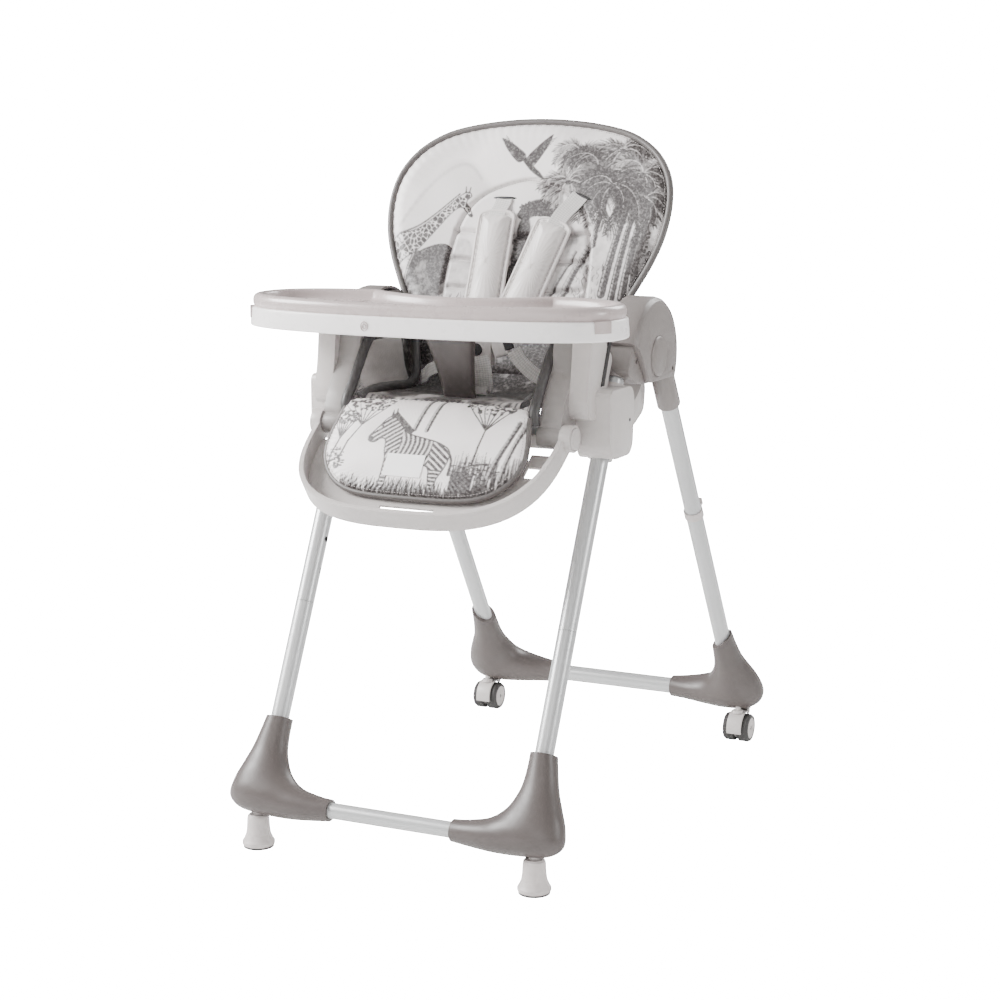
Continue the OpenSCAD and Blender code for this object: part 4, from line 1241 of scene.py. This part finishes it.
def shoulder(side_name, top, low, node):
    """Padded sleeve round a shoulder strap, with a flat sewn border."""
    (u0, v0), (u1, v1) = top, low
    d = np.array([u1 - u0, v1 - v0], float)
    length = float(np.linalg.norm(d))
    d /= length
    s = np.array([-d[1], d[0]])
    half, border = 30.0, 7.0

    def place(a, b, w):
        u, v = np.array([u0, v0]) + s * a + d * b
        return on_back(u, v, 23.0 + w)

    def face(near):
        k = np.clip((near - border) / (half - border), 0, 1)
        return 1.8 * np.clip(near / 1.2, 0, 1) + 13.0 * np.sqrt(1 - (1 - k) ** 2) * (near > border)

    outline = smooth_line([(-half, 14), (-half + 4, 4), (-half + 14, 0), (0, -1), (half - 14, 0), (half - 4, 4),
                           (half, 14), (half, length * 0.5),
                           (half, length - 10), (half - 8, length), (0, length + 1), (-half + 8, length),
                           (-half, length - 10), (-half, length * 0.5)], 6, True)
    pad, _, line = cushion("shoulder_pad_cover_" + side_name, outline, place, face, dome(4, 2.5), 90, 300, 8,
                           puckers=34)
    finish_mesh(pad, STRAP_PAD, 80)
    attach(pad, "backrest", node)
    v, f = tube([place(a, b, 0.6) for a, b in even(line, 160)], 0.0026, True, 8)
    attach(piece("shoulder_binding_" + side_name, v, f, STRAP_PAD, 80), "backrest", slot="strap_pad")
    stitches("shoulder_stitches_" + side_name, [place(a, b, 2.0) for a, b in drawn_in(even(line, 200), 4.6)],
             "backrest", "strap_pad", 4.2)


def slit(name, u, v, turn=0.0):
    """Dark bead on the cushion where a shoulder strap comes out: painted shade of the opening."""
    c, s = math.cos(turn), math.sin(turn)
    path = [on_back(u + a * c, v + a * s, 18.2) for a in np.linspace(-20, 20, 9)]
    vertices, faces = tube(path, [0.0006, 0.0018, 0.0022, 0.0024, 0.0024, 0.0024, 0.0022, 0.0018, 0.0006], False, 8)
    attach(piece(name, vertices, faces, DARK, 60), "backrest", slot="cushion")


shoulder("right", (-44, 296), (-44, 128), "shoulder_pad_right")
shoulder("left", (58, 282), (12, 128), "shoulder_pad_left")
slit("strap_slit_right", -38, 320)
slit("strap_slit_left", 92, 326, -0.35)
strap("shoulder_strap_right", [on_back(-38, 320, 13), on_back(-38, 317, 19.2), on_back(-40, 308, 20.5),
                               on_back(-43, 292, 25), on_back(-44, 270, 27)], 0.027, "backrest")
strap("shoulder_strap_left", [on_back(92, 328, 13), on_back(90, 324, 19.2), on_back(79, 310, 20.0),
                              on_back(67, 292, 24), on_back(58, 270, 27)], 0.027,
      "backrest", across=(0.94, 0.0, -0.34))
strap("crotch_strap", [spot(6, -84, 668), spot(10, -94, 684), spot(10, -98, 704), spot(6, -98, 722)], 0.030, "seat")
for side_name, side, start in (("left", 1, 60), ("right", -1, 26)):
    strap("lap_strap_" + side_name, [spot(side * start, -93, 734), spot(side * (start + 10), -88, 716),
                                     spot(side * 88, -76, 696),
          spot(side * 108, -58, 684), spot(side * 124, -44, 678)], 0.022, "seat", across=(0.5 * side, 0.5, 0.7))


soft_box("buckle_tongue_left", (38, -92, 738), (13, 6, 15), PALE, "seat", "pale", 3.5, 0.35)
soft_box("buckle_window", (52, -95, 742), (7, 4, 8), DARK, "seat", "buckle_dark", 2.0, 0.35)
soft_box("buckle_tongue_right", (-31, -90, 740), (9, 5, 12), PALE, "seat", "pale", 3.0, -0.3)

# ------------------------------------------------------------------ trim
TAB_AT = (286.0, -281.0)                  # middle of the latch tab on the tray wall, mm
for side_name, side in SIDES:
    # painted shadow: a near-black strip on the carriage's side face where its relief throws shade
    corners = [spot(side * x, y, z) for x in (225.4, 227.4) for y, z in ((-118, 766), (-107, 766), (-138, 694),
            (-149, 694))]
    attach(piece("carriage_trim_" + side_name, corners, BOX, DARK, 30), "seat", slot="buckle_dark")
    middle = int(np.argmin(np.hypot(LINE[:, 0] - side * TAB_AT[0], LINE[:, 1] - TAB_AT[1])))
    rings = []
    for k in range(middle - 4, middle + 5):
        p, inner = LINE[k % count], INWARD[k % count]
        rings.append([spot(*(p + inner * deep), z) for deep, z in (
            (-0.4, TRAY_Z + 12), (-0.2, TRAY_Z + 29), (4.5, TRAY_Z + 29), (4.5, TRAY_Z + 12))])
    v, f = lofted(rings)
    attach(piece("tray_latch_tab_" + side_name, v, f, INSERT, 40), "tray", slot="insert")
    for k, (y, z, x) in enumerate(((-120, 742, 226), (-150, 664, 226), (-94, 640, 250))):
        centre = spot(side * x, y, z)
        v, f = tube([centre + Vector((side * a, 0, 0)) for a in (-0.002, 0.0006)], 0.0026, sides=16)
        attach(piece(f"carriage_screw_{side_name}_{k + 1}", v, f, SCREW, 40), "seat", slot="screw")
rings = []
front_row = min(LINE, key=lambda q: abs(q[0] + 52) + (0 if q[1] < TRAY_MID else 1e3))
for ring_r, squash in ((5.4, 1.2), (3.0, 1.0)):
    loop = [spot(front_row[0] + ring_r * math.cos(a), front_row[1] + 0.1 + 0.02 * ring_r * math.cos(a),
                 TRAY_Z + 14 + ring_r * squash * math.sin(a)) for a in np.linspace(0, 2 * math.pi, 40,
                         endpoint=False)]
    rings.append(tube(loop, 0.0007, True, 8))
v, f = merged(*rings)
attach(piece("tray_release_mark", v, f, INSERT, 50), "tray", slot="insert")

# ------------------------------------------------------------------ floor
bpy.ops.mesh.primitive_plane_add(size=14, location=(0, 1.5, -0.0005))
ground = bpy.context.object
ground.name = "studio_floor"
paper = Finish("studio_paper", Roughness=0.9, Emission_Strength=24.0)
seen = paper.node("ShaderNodeLightPath")
paper.wear(Base_Color=paper.mix(paper.noise(3.0), (0.93, 0.93, 0.93), (0.95, 0.95, 0.95)),
           Emission_Color=paper.mix(seen, (0.0, 0.0, 0.0), (1.0, 1.0, 1.0)))
ground.data.materials.append(paper.material)
world = bpy.data.worlds.new("studio")
world.use_nodes = True
nodes, links = world.node_tree.nodes, world.node_tree.links
sky = nodes["Background"]
sky.inputs[0].default_value = (1, 1, 1, 1)
direct = nodes.new("ShaderNodeLightPath")
level = nodes.new("ShaderNodeMapRange")
level.inputs[3].default_value, level.inputs[4].default_value = 0.56, 24.0
links.new(direct.outputs["Is Camera Ray"], level.inputs[0])
links.new(level.outputs[0], sky.inputs[1])
bpy.context.scene.world = world
